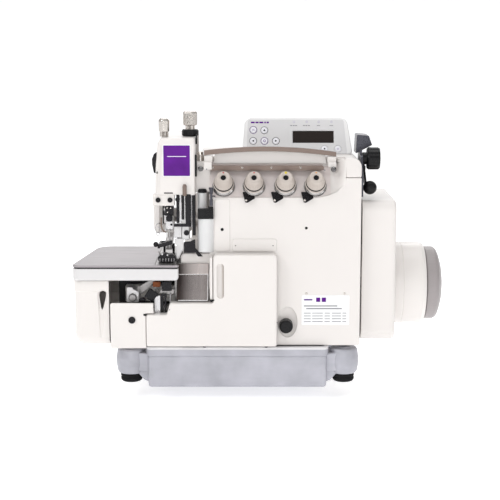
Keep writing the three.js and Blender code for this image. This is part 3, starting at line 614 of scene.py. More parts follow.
# %% [markdown]
# ## The main castings
#
# The bed, column and arm are one casting, milled where parts meet and painted everywhere else. Paint never
# holds a knife edge, so what sells a casting is the soft line of light along its long corners. We take
# the casting's own surface from the frame and round only its long outer edges; the short edges round bores
# and slots stay crisp, as a machinist would leave them.

# %% Frame casting
MACHINE = "machine"
SLOPE_FOOT = 254.7
SLOPE_RUN = 0.6
FRONT = -88.0
PILASTER = (-29.4, 183, -9.3, 252)
LOWER_PAD = (-6.5, 182.5, 52.0, 199.5)


def slope_at(z):
    """Y of the sloping tension panel's face at height z."""
    return FRONT + SLOPE_RUN * (z - SLOPE_FOOT)


casting = softened(cad_shape("frame_casting"), 1.6)
button_low, button_high = cad("stitch_button")
BUTTON = ((button_low[0] + button_high[0]) / 2, (button_low[2] + button_high[2]) / 2)
BOWL_HALF = [13.2, 5.4, 21.0]
bowl = turned(ball_profile(1.0, 0.0, 20), "z", (0, 0), 56)
bowl = (bowl[0] * BOWL_HALF + [BUTTON[0] + 2.2, FRONT - 0.4, BUTTON[1] + 5.0], bowl[1])
casting = carved(casting, bowl)
piece("frame_body", casting, MACHINE, enamel, ["frame_casting"])
print("frame body:", len(casting[0]), "points")

# %% Raised pads on the column's front
pads = merge(
    slab(rectangle(*PILASTER, 4), "y", FRONT - 0.9, FRONT + 1, 0.2, 0.9),
    slab(rectangle(*LOWER_PAD, 3), "y", FRONT - 1.1, FRONT + 1, 0.2, 1.1),
    block((-56.4, -73, 258.6), (-34, -57.4, 299.6), 3.0, "y"),
    block((112, -66.8, 292.4), (140.2, -56.8, 304.8), 0.8, "y"),
)
piece("column_pads", pads, MACHINE, enamel)

# The slope runs out into the right cheek along a smooth curve: Y = slope + (front - slope) times ease(t).
blend_x = np.linspace(122, 141.4, 20)
blend_share = ease((blend_x - blend_x[0]) / (blend_x[-1] - blend_x[0]))
blend_loops = []
for z in np.linspace(SLOPE_FOOT + 4, 303, 26):
    surface = slope_at(z) + (FRONT - slope_at(z)) * blend_share - 0.35
    loop_x = np.concatenate([blend_x, blend_x[::-1]])
    loop_y = np.concatenate([surface, np.full(20, slope_at(z) + 2.5)])
    blend_loops.append(np.column_stack([loop_x, loop_y, np.full(40, z)]))
piece("cheek_blend", loft(np.array(blend_loops)), MACHINE, enamel)


def dimples(places, radius, depth=0.05):
    """Small discs on a front face, at (x, face, z); black ones paint the shade inside bores, grey ones are
    print.
    """
    return merge(*[turned([(0, y - depth), (radius, y - depth), (radius, y + 1)], "y", (x, z), 20)
                   for x, y, z in places])


# Black discs paint the shade inside these bores.
bores = [(-19.5, FRONT - 0.9, 211.8, 2.1), (90.4, FRONT, 213.6, 1.9), (52.5, FRONT, 87.0, 0.8),
         (-2.0, FRONT - 1.1, 190.5, 0.7), (47.0, FRONT - 1.1, 190.5, 0.7)]
piece("column_bores", merge(*[dimples([(x, y, z)], r) for x, y, z, r in bores]), MACHINE,
      plastic_black)

# %% [markdown]
# ## Top cover, tension panel, rear cover and head cover
#
# These are separate castings, screwed down over the works. The same surface and a smaller edge
# radius would be enough, but the head cover carries the machine's face: a label, a latch and a slit where
# the thread passes. Those are added as thin bodies that stand a few tenths of a millimetre proud.

# %% Covers above the bed
for node, radius in (("top_cover", 2.4), ("tension_panel", 0.5), ("rear_cover", 1.0)):
    # The tension panel gets the darker copy of the enamel: painted shade.
    tone = enamel_painted_shade if node == "tension_panel" else enamel
    piece(node + "_shell", softened(cad_shape(node), radius), MACHINE, tone, [node])

head_low, head_high = cad("head_cover")
head_left = head_low[0] + 1.8
head_outline = [(head_left, head_low[2], 2), (head_high[0], head_low[2], 2),
                (head_high[0], head_high[2], 3.5), (head_left + 7.6, head_high[2], 2),
                (head_left + 3.8, head_high[2] - 7, 2), (head_left + 1.0, head_high[2] - 38)]
head_inner = [(head_left + 3, head_low[2] - 2), (head_high[0] + 2, head_low[2] - 2),
              (head_high[0] + 2, head_high[2] - 3), (head_left + 10, head_high[2] - 3),
              (head_left + 4.2, head_high[2] - 38)]
side_line_cut = slab([(head_left + 4.6, head_low[2] + 1.5), (head_left + 5.2, head_low[2] + 1.5),
                      (head_left + 9.4, head_high[2] - 10), (head_left + 8.8, head_high[2] - 10)],
                     "y", head_low[1] - 1, head_low[1] + 0.45, 0)
post_hole = turned([(0, 300), (4.6, 300), (4.6, 340), (0, 340)], "z", (-62, -50), 32)
head_shell = carved(slab(head_outline, "y", head_low[1], head_high[1], 2.2),
                    slab(head_inner, "y", head_low[1] + 3, head_high[1] - 3, 0), post_hole, side_line_cut)
head_lip = block((head_high[0] - 3, head_low[1] + 2, head_low[2] + 0.5),
                 (head_high[0], -58, head_high[2] - 5), 0.8, "x")
piece("head_shell", merge(head_shell, head_lip), MACHINE, enamel, ["head_cover"])

LABEL_LEFT, LABEL_LOW, LABEL_RIGHT, LABEL_HIGH = -95.6, 281.5, -61.1, 321.2
BORDER = 0.9
face = head_low[1]
border_line = rectangle(LABEL_LEFT - BORDER, LABEL_LOW - BORDER, LABEL_RIGHT + BORDER, LABEL_HIGH + BORDER,
                        1.6)
label_film = slab(border_line, "y", face - 0.25, face + 0.4, 0, 0.15)
piece("head_label_border", label_film, MACHINE, label_white)
label_line = rectangle(LABEL_LEFT, LABEL_LOW, LABEL_RIGHT, LABEL_HIGH, 1)
label_face = slab(label_line, "y", face - 0.45, face, 0, 0.12)
piece("head_label", label_face, MACHINE, label_violet)
label_band = block((LABEL_LEFT + 5, face - 0.55, 306.5), (LABEL_RIGHT - 5, face - 0.3, 307.3), 0.05, "y")
piece("head_label_rule", label_band, MACHINE, label_white)

# Black blocks fill the thread slit and the lower slot: painted shade in the openings.
slit = block((head_high[0] + 0.1, face + 1, 280.5), (head_high[0] + 2.4, face + 8, 309), 0.6, "y")
lower_slot = block((-95.5, face - 0.1, 258.2), (-83.5, face + 1, 260), 0.3, "y", 0.8)
collar_tab = block((-54.7, -62, 321), (-52.5, -54, 333.6), 0.4, "y")
piece("head_slit", merge(slit, lower_slot, collar_tab), MACHINE, plastic_black)

latch = merge(slab([(-104.4, 312.6, 1), (-108.2, 309.6, 3), (-110.6, 303, 3), (-110.4, 296, 3),
                    (-108.2, 285, 1), (-105.6, 285, 0.6), (-106.2, 296), (-105.2, 304)], "y", -82, -66,
                   0.4), slab([(-104.6, 285.4, 0.5), (-102.0, 285.4, 0.5), (-103.4, 289.6, 0.5)], "y", -92,
                              -90, 0.3))
piece("head_latch", latch, MACHINE, black_oxide)
print("head cover:", head_low.round(1), head_high.round(1))

# %% [markdown]
# ## Oil pan and its feet
#
# The pan is sand-cast aluminium left unpainted: a shallow tub with a machined rim, and four barrel-shaped
# lugs on curved webs. A tub is a single sheet of surface when you carry its outline up the
# outside, over the rim and down the inside, which is a stack of rings of one outline. The barrels are turned.

# %% Oil pan
pan_low, pan_high = cad("oil_pan")
PAN_X, PAN_Y, RIM_LOW, RIM_OUT, PAN_WALL = 119.6, 95.0, 43.5, 1.2, 6.0
RIM_X, RIM_Y = PAN_X + RIM_OUT, PAN_Y + RIM_OUT
LUG = dict(x=142.0, y=73.0, low=16.8, high=52.0, r=20.0)
RIM_GAP = 0.15
tub = rounded(rectangle(RIM_GAP - RIM_X, RIM_GAP - RIM_Y, RIM_X - RIM_GAP, RIM_Y - RIM_GAP, 7), 9)
tub_rings = [(draw + 2.2, z) for draw, z in quarter(4.0, 0.0, 1)]
tub_rings += [(1.7, 12), (1.3, RIM_LOW - 3.4), (1.9, RIM_LOW - 2.6), (1.9, RIM_LOW - 0.9),
              (0.9, RIM_LOW - 0.3)]
tub_rings += [(0.1, RIM_LOW + 0.3), (0, RIM_LOW + 0.9), (0, pan_high[2] - 1.4), (0.4, pan_high[2] - 0.4),
              (1.4, pan_high[2])]
tub_rings += [(PAN_WALL, pan_high[2]), (PAN_WALL + 0.8, pan_high[2] - 0.8), (PAN_WALL + 2, 10),
              (PAN_WALL + 5, 6)]
pan_shapes = [stack(tub, tub_rings)]
barrel = soft_profile([(0, LUG["low"]), (16.6, LUG["low"], 1.6), (18.6, 20.4, 3), (LUG["r"], 30, 14),
                       (LUG["r"], 38, 14), (18.4, 48.6, 3), (16.8, LUG["high"] - 1.4, 1),
                       (10.2, LUG["high"] - 1.4, 1), (9.6, LUG["high"], 0.6), (4.6, LUG["high"], 0.5),
                       (4.4, 40), (0, 40)], 5)
for sx in (-1, 1):
    for sy in (-1, 1):
        pan_shapes.append(turned(barrel, "z", (sx * LUG["x"], sy * LUG["y"]), 56))
        web = [(sx * (PAN_X - 3), sy * LUG["y"] - 17), (sx * (PAN_X - 3), sy * LUG["y"] + 17),
               (sx * 131, sy * LUG["y"] + 15.5, 8), (sx * LUG["x"], sy * LUG["y"] + 16, 3),
               (sx * LUG["x"], sy * LUG["y"] - 16, 3), (sx * 131, sy * LUG["y"] - 15.5, 8)]
        web = web if sx > 0 else web[::-1]
        pan_shapes.append(slab(web, "z", 20.8, 46, 2.0))
        gusset = [(sx * (PAN_X - 2), 6), (sx * (PAN_X - 2), 24), (sx * 138, 24), (sx * 132, 17.5, 6),
                  (sx * 124, 8, 8)]
        gusset = gusset if sx > 0 else gusset[::-1]
        pan_shapes.append(slab(gusset, "y", sy * LUG["y"] - 13, sy * LUG["y"] + 13, 1.2))
piece("pan_casting", merge(*pan_shapes), MACHINE, cast_grey, ["oil_pan"])
rim_band = rounded(rectangle(-RIM_X, -RIM_Y, RIM_X, RIM_Y, 7), 9)
rim_rings = [(0.2, 52.2), (0, 52.4), (0, 55.2), (0.45, 55.72), (5.4, 55.72), (5.4, 52.2)]
piece("pan_machined_rim", stack(rim_band, rim_rings), MACHINE, cast_light)

# %% Rubber feet and plugs
foot = soft_profile([(0, 5), (12.6, 5, 1.2), (14.2, 7, 2), (14.5, 10, 2), (13.6, 11.2, 0.6),
                     (14.5, 12.4, 0.6), (14.5, 16.2, 0.8), (8, 16.5, 0.3), (7.6, 30), (0, 30)], 4)
CORNERS = (("front_left", -1, -1), ("front_right", 1, -1), ("rear_left", -1, 1), ("rear_right", 1, 1))
for node, sx, sy in CORNERS:
    piece("foot_" + node, turned(foot, "z", (sx * LUG["x"], sy * LUG["y"]), 48), MACHINE,
          rubber_black, ["rubber_cushion_" + node])
plugs = merge(*[turned([(0, -98.6), (2.2, -98.6), (3.1, -97.8), (3.1, -90), (0, -90)], "y", (x, 58.6), 24)
                for x in (-43.0, 38.4)])
piece("pan_plugs", plugs, MACHINE, rubber_black)
print("oil pan:", pan_low.round(1), pan_high.round(1))

# %% [markdown]
# ## Cloth plate
#
# The plate is where the hands slide the fabric: a ground steel top over a bright skirt, with a thin
# gap between them whose shadow is painted as a black ring. Top and skirt are two plates of the same outline.
# The skirt is hollow and open on the machine's side, so the loopers can swing under it.

# %% Cloth plate
plate_low, plate_high = cad("cloth_plate")
SKIRT_LOW, TOP_Z = plate_low[2], plate_high[2]
TOP_THICK, SHADOW = 2.8, 1.9
PLATE_HINGE = (-118, 62)
PLATE_BODY = "cloth_plate_set"
plate_line = [(-216, -105, 9), (-76, -105, 2.6), (-76, -99.3), (-107, -99.3), (-107, 49), (-196, 49, 22)]
top_sheet = slab(plate_line, "z", TOP_Z - TOP_THICK, TOP_Z, 0.9, 0.4)
piece("cloth_plate_top", top_sheet, PLATE_BODY, plate_top, ["cloth_plate"])

neck_line = rounded(plate_line)
# A black ring fills the gap between top and skirt: painted shadow.
gap_ring = stack(neck_line, [(1.5, TOP_Z - TOP_THICK - SHADOW - 0.3), (1.5, TOP_Z - TOP_THICK + 0.3)])
piece("cloth_plate_shadow_gap", gap_ring, PLATE_BODY, black_oxide)

skirt_top = TOP_Z - TOP_THICK - SHADOW
skirt_body = stack(neck_line, [(2.0, SKIRT_LOW)] + [(d + 0.1, z) for d, z in quarter(2.4, SKIRT_LOW, 1)][1:]
                   + [(0.1, skirt_top - 0.5), (0.5, skirt_top)])
inner_line = [(-213, -102, 6), (-60, -102), (-60, 46), (-193, 46, 19)]
inner_room = slab(inner_line, "z", SKIRT_LOW - 2, skirt_top - 1.2, 0)
corner = [(-70, SKIRT_LOW + 6), (-76, SKIRT_LOW + 6)]
corner += [(-82 + 6 * math.cos(a), SKIRT_LOW + 6 + 6 * math.sin(a))
           for a in np.linspace(0, -math.pi / 2, 8)[1:]]
corner += [(-82, SKIRT_LOW - 4), (-70, SKIRT_LOW - 4)]
corner_cut = slab(np.array(corner), "y", -110, -95, 0)
skirt = carved(skirt_body, inner_room, corner_cut)
knuckle = turned([(3.3, 149.6), (7.6, 149.6), (8, 150.2), (8, 162.6), (3.3, 162.6), (3.3, 149.6)], "z",
                 PLATE_HINGE, 32)
tongue = carved(block((-126, 40, 155), (-110, 62, 162.6), 0.8, "z", 2),
                turned([(0, 150), (7.9, 150), (7.9, 165), (0, 165)], "z", PLATE_HINGE, 32))
piece("cloth_plate_skirt", merge(skirt, knuckle, tongue), PLATE_BODY, plate_side)
print("cloth plate:", plate_low.round(1), plate_high.round(1))

# %% [markdown]
# ## Side cover, looper cover and front-left cover
#
# Thin pressure castings. The side cover has a finger groove, a half-cone that narrows downwards; we
# cut it with a real cone, so its lip catches the light. The looper cover has a straight groove
# with round ends for a thumb.

# %% Side cover
side_low, side_high = cad("side_cover")
SIDE_BODY = "side_cover_set"
STEP_Z, STEP_IN = 131.4, 0.9
SIDE_HINGE = (-173, 52)
side_line = rounded([(-216, -100, 14), (-150, -100), (-150, 44), (-205, 44, 22)], 10)
side_rings = [(d + STEP_IN, z) for d, z in quarter(15.0, side_low[2], 1, 9)]
side_rings += [(STEP_IN, STEP_Z - 1.2), (STEP_IN * 0.5, STEP_Z - 0.4), (0.1, STEP_Z), (0, STEP_Z + 0.8),
               (0, side_high[2] - 1.4), (0.4, side_high[2] - 0.4), (1.4, side_high[2])]
side_solid = stack(side_line, side_rings)
side_room = slab([(-212, -96.5, 11), (-140, -96.5), (-140, 41), (-202, 41, 19)], "z", side_low[2] + 4,
                 side_high[2] - 3, 0, 10)
right_trim = block((-168, -120, 40), (-120, 70, 160), 0, "z", 0)
cone_z = np.array([58.5, 70, 85, 100, 115, 126, 130, 132.2, 133.6])
cone_r = np.array([0.7, 1.6, 2.9, 4.2, 5.4, 6.6, 6.2, 4.2, 0.4])
cone_x = np.interp(cone_z, [59.7, 133.6], [-179.4, -175.9])
turn = np.linspace(0, 2 * math.pi, 40, endpoint=False)
cone_loops = [np.column_stack([x + r * np.cos(turn), -99.1 + 0.55 * r * np.sin(turn), np.full(40, z)])
              for x, r, z in zip(cone_x, cone_r, cone_z)]
side_shell = carved(side_solid, side_room, right_trim, loft(np.array(cone_loops)))
side_knuckle = merge(turned([(3.3, 90), (6, 90), (6, 104), (3.3, 104), (3.3, 90)], "z", SIDE_HINGE, 32),
                     block((-180, 38, 90.5), (-168, 47, 103.5), 0.8, "z", 1))
piece("side_cover_shell", merge(side_shell, side_knuckle), SIDE_BODY, enamel, ["side_cover"])

# %% Front-left cover
corner_cover = softened(cad_shape("front_left_cover"), 1.2)
piece("front_left_shell", corner_cover, MACHINE, enamel, ["front_left_cover"])

# %% Looper cover
COVER_BODY = "front_cover_set"
cover_low, cover_high = cad("front_cover")
GROOVE_X, GROOVE_R, GROOVE_LOW, GROOVE_HIGH = -22.0, 5.0, 122.6, 170.0
cover_line = [(-119, 58.7, 3), (52, 58.7, 3), (52, 181, 5), (-31, 181, 5), (-31, 117, 3), (-88, 117, 3),
              (-92, 101.5, 3), (-119, 101.5, 3)]
cover_room = slab(shrunk(cover_line, 3.0), "y", cover_low[1] + 3, -80, 0)
groove_ends = np.linspace(0, math.pi / 2, 6)
groove_profile = [(GROOVE_R * math.sin(a), GROOVE_LOW + GROOVE_R * (1 - math.cos(a))) for a in groove_ends]
groove_profile += [(GROOVE_R * math.cos(a), GROOVE_HIGH - GROOVE_R * (1 - math.sin(a))) for a in groove_ends]
groove = turned(groove_profile, "z", (GROOVE_X, cover_low[1] - 0.6), 40)
rod_rooms = [block((x, -103, 50), (x + 20, -80, 75), 0, "z", 0) for x in (-71, 7)]
cover_shell = carved(slab(cover_line, "y", cover_low[1], cover_high[1], 0.4, 2.2), cover_room, *rod_rooms,
                     groove)
groove_back = carved(block((-28.6, -105, 118), (-15.4, -98, 178), 0.6, "z", 1), groove)
hinge_lugs = [carved(block((x, -104.5, 59.5), (x + 8, -94, 70), 0.8, "x", 2),
                     turned([(0, x - 1), (2.9, x - 1), (2.9, x + 9), (0, x + 9)], "x", (-99, 65), 24))
              for x in (-104, 38)]
piece("looper_cover_shell", merge(cover_shell, groove_back, *hinge_lugs), COVER_BODY, enamel,
      ["front_cover"])
# A thin lining inside the thumb groove carries that darkened enamel: painted shade along the groove's right
# edge.
groove_skin = turned([(max(r - 0.02, 0), z) for r, z in groove_profile], "z",
                     (GROOVE_X, cover_low[1] - 0.6), 40)
groove_core = turned([(max(r - 0.4, 0), z + (0.4 if z < 146 else -0.4)) for r, z in groove_profile], "z",
                     (GROOVE_X, cover_low[1] - 0.6), 40)
groove_shade_lining = carved(groove_skin, groove_core, block((-40, -125, 100), (0, cover_low[1] + 0.05, 190), 0,
                                                       "z", 0))
piece("looper_cover_groove_shade", groove_shade_lining, COVER_BODY, groove_shade_enamel)
print("covers:", side_low.round(1), cover_low.round(1), cover_high.round(1))

# %% [markdown]
# ## Motor side
#
# The drive sits on the right: a box cover over the electronics, a round motor housing, and the handwheel.
# All of them are turned or extruded forms, and what matters is the radius of their shoulders.

# %% Motor cover, housing and handwheel
SHAFT_Z = 124.5
box_low, box_high = cad("motor_cover")
box_face = rectangle(box_low[1], box_low[2], box_high[1], box_high[2], 15)
box_inner = slab(shrunk(box_face, 3.0), "x", box_low[0] - 2, box_high[0] - 3, 0)
shaft_hole = turned([(0, 200), (30, 200), (30, 215), (0, 215)], "x", (0, SHAFT_Z), 56)
motor_box = carved(slab(box_face, "x", box_low[0], box_high[0], 5.0, 1.2, 10), box_inner, shaft_hole)
piece("motor_cover_shell", motor_box, MACHINE, enamel, ["motor_cover"])

h0, h1 = cad("motor_housing")[0][0], cad("motor_housing")[1][0]
housing_profile = soft_profile([(30, h0), (55.2, h0, 0.6), (56, h0 + 1.4, 1), (56, h0 + 12, 0.5),
                                (55.5, h0 + 12.6, 0.2), (55.5, h0 + 13.4, 0.2), (56, h0 + 14, 0.5),
                                (56, h1 - 5, 4), (53.5, h1, 1.5), (50, h1), (50, h0 + 4), (30, h0 + 4),
                                (30, h0)], 5)
piece("motor_housing_shell", turned(housing_profile, "x", (0, SHAFT_Z), 96), MACHINE, enamel,
      ["motor_housing"])

w0, w1 = cad("handwheel")[0][0], cad("handwheel")[1][0]
wheel_profile = soft_profile([(7.8, w0), (48.6, w0, 0.8), (50, w0 + 1.6, 1), (50, w0 + 13.5, 6),
                              (46.6, w0 + 17, 6), (41, w0 + 19.4, 6), (31, w0 + 22.4, 6), (18, w1 - 0.8, 6),
                              (0, w1), (0, w0 + 16.8), (7.8, w0 + 16.8), (7.8, w0)], 4)
WHEEL_RIBS = 60


def wheel_grip(angle, place):
    """Shallow finger flutes on the rim: a cosine round the wheel, only on the front band."""
    band = (place > w0 + 8.4) & (place < w0 + 13.6)
    return -0.35 * band * (0.5 - 0.5 * np.cos(WHEEL_RIBS * angle))


piece("handwheel_moulding", turned(wheel_profile, "x", (0, SHAFT_Z), 240, wheel_grip), "shaft_set",
      wheel_grey, ["handwheel"])
print("motor side:", round(box_low[0], 1), "to", round(w1, 1))


# %% [markdown]
# ## Screws, knobs and caps on the head
#
# A socket screw is a small lathe job with one hexagonal hole. The hole's radius follows
# r = R cos 30 / cos(a - 30), with a the angle inside one sixth of a turn, so the same grid of rings makes
# both the round head and the hexagon. Knurls are made the same way, by adding a fine wave to a radius.

# %% Screws
def socket_screw(u, v, face, radius, axis="y", out=-1, height=1.4, depth=1.1, sides=48):
    """A round head of the given height on a face, with a hexagonal socket; out says which way it points."""
    angle = np.linspace(0, 2 * math.pi, sides, endpoint=False)
    hexagon = radius * 0.56 * math.cos(math.pi / 6) / np.cos(np.mod(angle, math.pi / 3) - math.pi / 6)
    flat = np.ones(sides)
    rows = [(hexagon * 0.02, height - depth), (hexagon, height - depth), (hexagon, height),
            (flat * (radius - 0.4), height), (flat * radius, height - 0.4), (flat * radius, -0.6),
            (flat * 0.02, -0.6)]
    loops = [np.column_stack([u + r * np.cos(angle), v + r * np.sin(angle), np.full(sides, face + out * h)])
             for r, h in rows]
    points, faces = loft(np.array(loops))
    return to_axis(points, axis), faces


def cheese_head(u, v, face, radius, axis="y", out=-1, height=1.2, turn=0.6):
    """A slotted screw: a domed turned head with its slot cut across at an angle of turn radians."""
    rows = [(0, -0.6), (radius, -0.6), (radius, height * 0.55), (radius * 0.86, height * 0.9),
            (radius * 0.4, height), (0, height)]
    head = turned([(r, face + out * h) for r, h in rows], axis, (u, v), 40)
    c, s = math.cos(turn), math.sin(turn)
    long, wide = radius * 1.4, radius * 0.16
    bar = [(u + c * a - s * b, v + s * a + c * b) for a, b in ((-long, -wide), (long, -wide), (long, wide),
                                                               (-long, wide))]
    low, high = sorted((face + out * height * 0.45, face + out * (height + 2)))
    return carved(head, slab(bar, axis, low, high, 0))


def knurl(count, depth):
    """A ripple for turned(): count fine ridges round the part, depth high."""
    return lambda angle, place: -depth * (0.5 - 0.5 * np.cos(count * angle)) * np.ones_like(place)


# %% Knobs on the head
cap_low, cap_high = cad("slotted_cap")
CAP_X, CAP_Y = (cap_low[0] + cap_high[0]) / 2, (cap_low[1] + cap_high[1]) / 2
cap_skin = soft_profile([(0, 337.6), (6.2, 337.6), (6.9, 338, 0.4), (7.4, 352, 3), (5.4, cap_high[2], 1.6),
                         (0, cap_high[2])], 5)
cap_prong = block((-1.1, 3.4, cap_low[2]), (1.1, 5.9, 338), 0.5, "z")


def spun(shape, angle, centre):
    """A shape turned about a vertical line through centre."""
    x, y, z = np.asarray(shape[0]).T
    c, s = math.cos(angle), math.sin(angle)
    return np.column_stack([centre[0] + x * c - y * s, centre[1] + x * s + y * c, z]), shape[1]


cap_prongs = [spun(cap_prong, math.radians(a), (CAP_X, CAP_Y)) for a in (150, 200, 250, 320, 20, 80)]
cap_stem = turned([(0, cap_low[2]), (2.6, cap_low[2]), (2.6, 339), (0, 339)], "z", (CAP_X, CAP_Y), 24)
piece("head_cap", merge(turned(cap_skin, "z", (CAP_X, CAP_Y), 64), cap_stem, *cap_prongs), MACHINE,
      nickel, ["slotted_cap"])

KNOB_AXIS = (-62.0, -50.0)
knob_top = cad("pressure_knob")[1][2]
collar = turned(soft_profile([(4.3, 330.9), (9.8, 330.9, 0.4), (11.2, 332.4, 0.8), (11.2, 338, 0.8),
                              (9.8, 339.8, 0.5), (4.3, 340), (4.3, 330.9)], 4), "z", KNOB_AXIS, 96,
                knurl(24, 0.35))
piece("pressure_lock_ring", collar, "pressure_knob_set", plastic_black)
grip = turned(soft_profile([(4.3, 345), (8.4, 345, 0.4), (9.3, 346.4, 0.5), (9.3, 361, 1),
                            (8.2, knob_top, 0.8), (0, knob_top), (0, 351), (4.3, 351), (4.3, 345)], 4), "z",
              KNOB_AXIS, 180, knurl(60, 0.22))
prong = block((-1.3, 3.6, 339.6), (1.3, 6.3, 346), 0.5, "z")
grip_prongs = [spun(prong, math.radians(a), KNOB_AXIS) for a in (150, 205, 260, 330, 30, 90)]
piece("pressure_grip", merge(grip, *grip_prongs), "pressure_knob_set", nickel, ["pressure_knob"])

side_pin = turned(soft_profile([(0, 299.4), (4.2, 299.4, 0.6), (4.5, 303, 1), (4.5, 308, 1),
                                (4.0, 311.8, 0.8), (0, 311.8)], 4), "z", (-48.2, -66), 40)
piece("head_side_pin", side_pin, MACHINE, nickel)
LEFT_SCREW, RIGHT_SCREW = (-47.6, 290.1), (125.2, 290.6)
panel_screws = merge(cheese_head(*LEFT_SCREW, -73.6, 3.6, height=1.6),
                     cheese_head(*RIGHT_SCREW, -88.4, 3.6, height=1.6, turn=1.0))
screw_pad = turned([(0, -73.8), (4.2, -73.8), (4.2, -56), (0, -56)], "y", LEFT_SCREW, 32)
piece("head_screws", panel_screws, MACHINE, screw_dark)
piece("head_screw_pad", screw_pad, MACHINE, enamel)
print("head hardware made")

# %% [markdown]
# ## Thread path: guide bars, tension discs and knobs
#
# Four identical tension stacks stand square to a sloping panel. We model one in its own
# upright frame, with the panel at height zero, then lean it forward and set it at each post, so all four are
# exact copies. The rows of dimples on a knob are real dents: the radius dips where two cosines,
# one round the knob and one along it, are both near their peak.

# %% Tension stacks
STACK_TILT = math.radians(59)
STACK_Z = 267.0
STACK_XS = (-17.4, 22.0, 62.9, 101.9)
DOTS = (dot_red, dot_red, dot_yellow, dot_orange)
DOT_SIZE = (1.0, 1.0, 1.7, 1.0)


def dimple_rows(angle, place):
    """Three rows of round dents between heights 15 and 25 on the knob's side."""
    band = np.clip((place - 15.2) / 0.8, 0, 1) * np.clip((25.4 - place) / 0.8, 0, 1)
    wave = (0.5 - 0.5 * np.cos(26 * angle)) * (0.5 - 0.5 * np.cos((place - 15.2) * 2 * math.pi / 3.4))
    return -1.0 * band * wave**2


side_rows = [(12.0 - 0.2 * (h - 14.6), h) for h in np.linspace(14.6, 26.8, 40)]
knob_profile = [(3.1, 8.6), (9.4, 8.6), (12.8, 8.8), (13.4, 9.4), (13.4, 11.4), (12.9, 12.0), (10.6, 12.1),
                (10.6, 14.3), (11.9, 14.4)] + side_rows + [(9.3, 27.6), (8.8, 28.8), (8.1, 29.5),
                                                           (6.4, 29.5), (6.0, 29.2), (4.6, 29.2),
                                                           (4.0, 28.8), (3.4, 28.0), (3.2, 26.5),
                                                           (3.1, 8.6)]
gap_ring_profile = [(10.4, 12.05), (12.6, 12.05), (12.6, 12.5), (11.2, 14.3), (10.4, 14.3), (10.4, 12.05)]
disc_profile = soft_profile([(0, 0.4), (15, 0.4, 0.3), (15, 1.4, 0.3), (12.6, 1.7, 0.3), (6, 2.1), (5, 3),
                             (9, 2.9), (13.2, 2.5, 0.3), (14.2, 3.5, 0.4), (13, 4.2, 0.3), (5, 4.6),
                             (12.6, 4.9, 0.2), (13.4, 5.7, 0.2), (11, 7.4, 0.4), (9, 8.0), (2.8, 8.2),
                             (2.8, 24), (0, 24)], 4)
for i, x in enumerate(STACK_XS):
    origin = (x, slope_at(STACK_Z), STACK_Z)
    body = f"tension_knob_{i + 1}_set"
    knob = turned(knob_profile, "z", (0, 0), 180, dimple_rows)
    piece(f"tension_grip_{i + 1}", leaned(knob, origin, STACK_TILT), body, knob_ivory,
          [f"tension_knob_{i + 1}"])
    discs = turned(disc_profile, "z", (0, 0), 72)
    piece(f"tension_discs_{i + 1}", leaned(discs, origin, STACK_TILT), MACHINE, disc_nickel,
          [f"tension_disc_set_{i + 1}"])
    # A black plug in the top of the knob's bore and a black ring in the groove at its neck: painted shade.
    bore = merge(turned([(0, 28.4), (3.3, 28.4), (3.3, 26.0), (0, 26.0)], "z", (0, 0), 32),
                 turned(gap_ring_profile, "z", (0, 0), 72))
    piece(f"tension_bore_{i + 1}", leaned(bore, origin, STACK_TILT), body, plastic_black)
    dot = turned([(0, 28), (DOT_SIZE[i], 28), (DOT_SIZE[i], 29.5), (DOT_SIZE[i] * 0.8, 29.75), (0, 29.8)],
                 "z", (0, 6.6), 24)
    piece(f"tension_dot_{i + 1}", leaned(dot, origin, STACK_TILT), body, DOTS[i])
    # Black rings in the gaps between the discs: painted shade.
    gap_shade_rings = merge(turned([(11, 1.5), (14.1, 1.5), (14.1, 2.6), (11, 2.6), (11, 1.5)], "z", (0, 0), 72),
                  turned([(11, 4.2), (12.9, 4.2), (12.9, 5.0), (11, 5.0), (11, 4.2)], "z", (0, 0), 72))
    piece(f"tension_gap_shade_{i + 1}", leaned(gap_shade_rings, origin, STACK_TILT), MACHINE, black_oxide)
    if i:
        across = 0 if i == 1 else -4
        guide = slab([(-15 + across, -8.4, 1), (-11.4 + across, -23.2, 1.6), (-8.6 + across, -23.8, 1.6),
                      (1.4 + across, -17.4, 1.4), (0 + across, -9, 1)], "z", 1.6, 2.8, 0.3)
        bead = turned(ball_profile(1.7, 3.6, 9), "z", (-10.0 + across, -20.8), 20)
        piece(f"tension_guide_{i + 1}", leaned(guide, origin, STACK_TILT), MACHINE,
              black_oxide)
        piece(f"tension_bead_{i + 1}", leaned(bead, origin, STACK_TILT), MACHINE, nickel)
print("tension stacks:", len(STACK_XS))

# %% Guide bars
arch_low, arch_high = cad("arched_thread_guide")
ARCH_X = np.linspace(arch_low[0], arch_high[0], 60)
share = (ARCH_X - arch_low[0]) / (arch_high[0] - arch_low[0])


def bow(start, peak, stop):
    """Heights of a quadratic arc from start through its control height peak to stop."""
    return (1 - share)**2 * start + 2 * share * (1 - share) * peak + share**2 * stop


arch_top = np.column_stack([ARCH_X, bow(314.2, 324.8, 312.0)])
arch_foot = np.column_stack([ARCH_X, bow(307.6, 319.2, 306.1)])
arch_bar = slab(np.vstack([arch_foot, arch_top[::-1]]), "y", arch_low[1], -73, 0.5)
piece("arched_guide_bar", arch_bar, MACHINE, bronze_bar, ["arched_thread_guide"])
arch_blocks = merge(block((-43, -78.6, 298.6), (-32, -56.3, 307.4), 0.8, "y"),
                    block((-43, -84.5, 289.6), (-32.6, -62, 299.4), 0.8, "y"),
                    block((117.5, -78.6, 298.6), (129, -56.3, 306.2), 0.8, "y"),
                    block((118.2, -84.5, 292.8), (129, -62, 299.4), 0.8, "y"))
piece("arched_guide_blocks", arch_blocks, MACHINE, enamel)

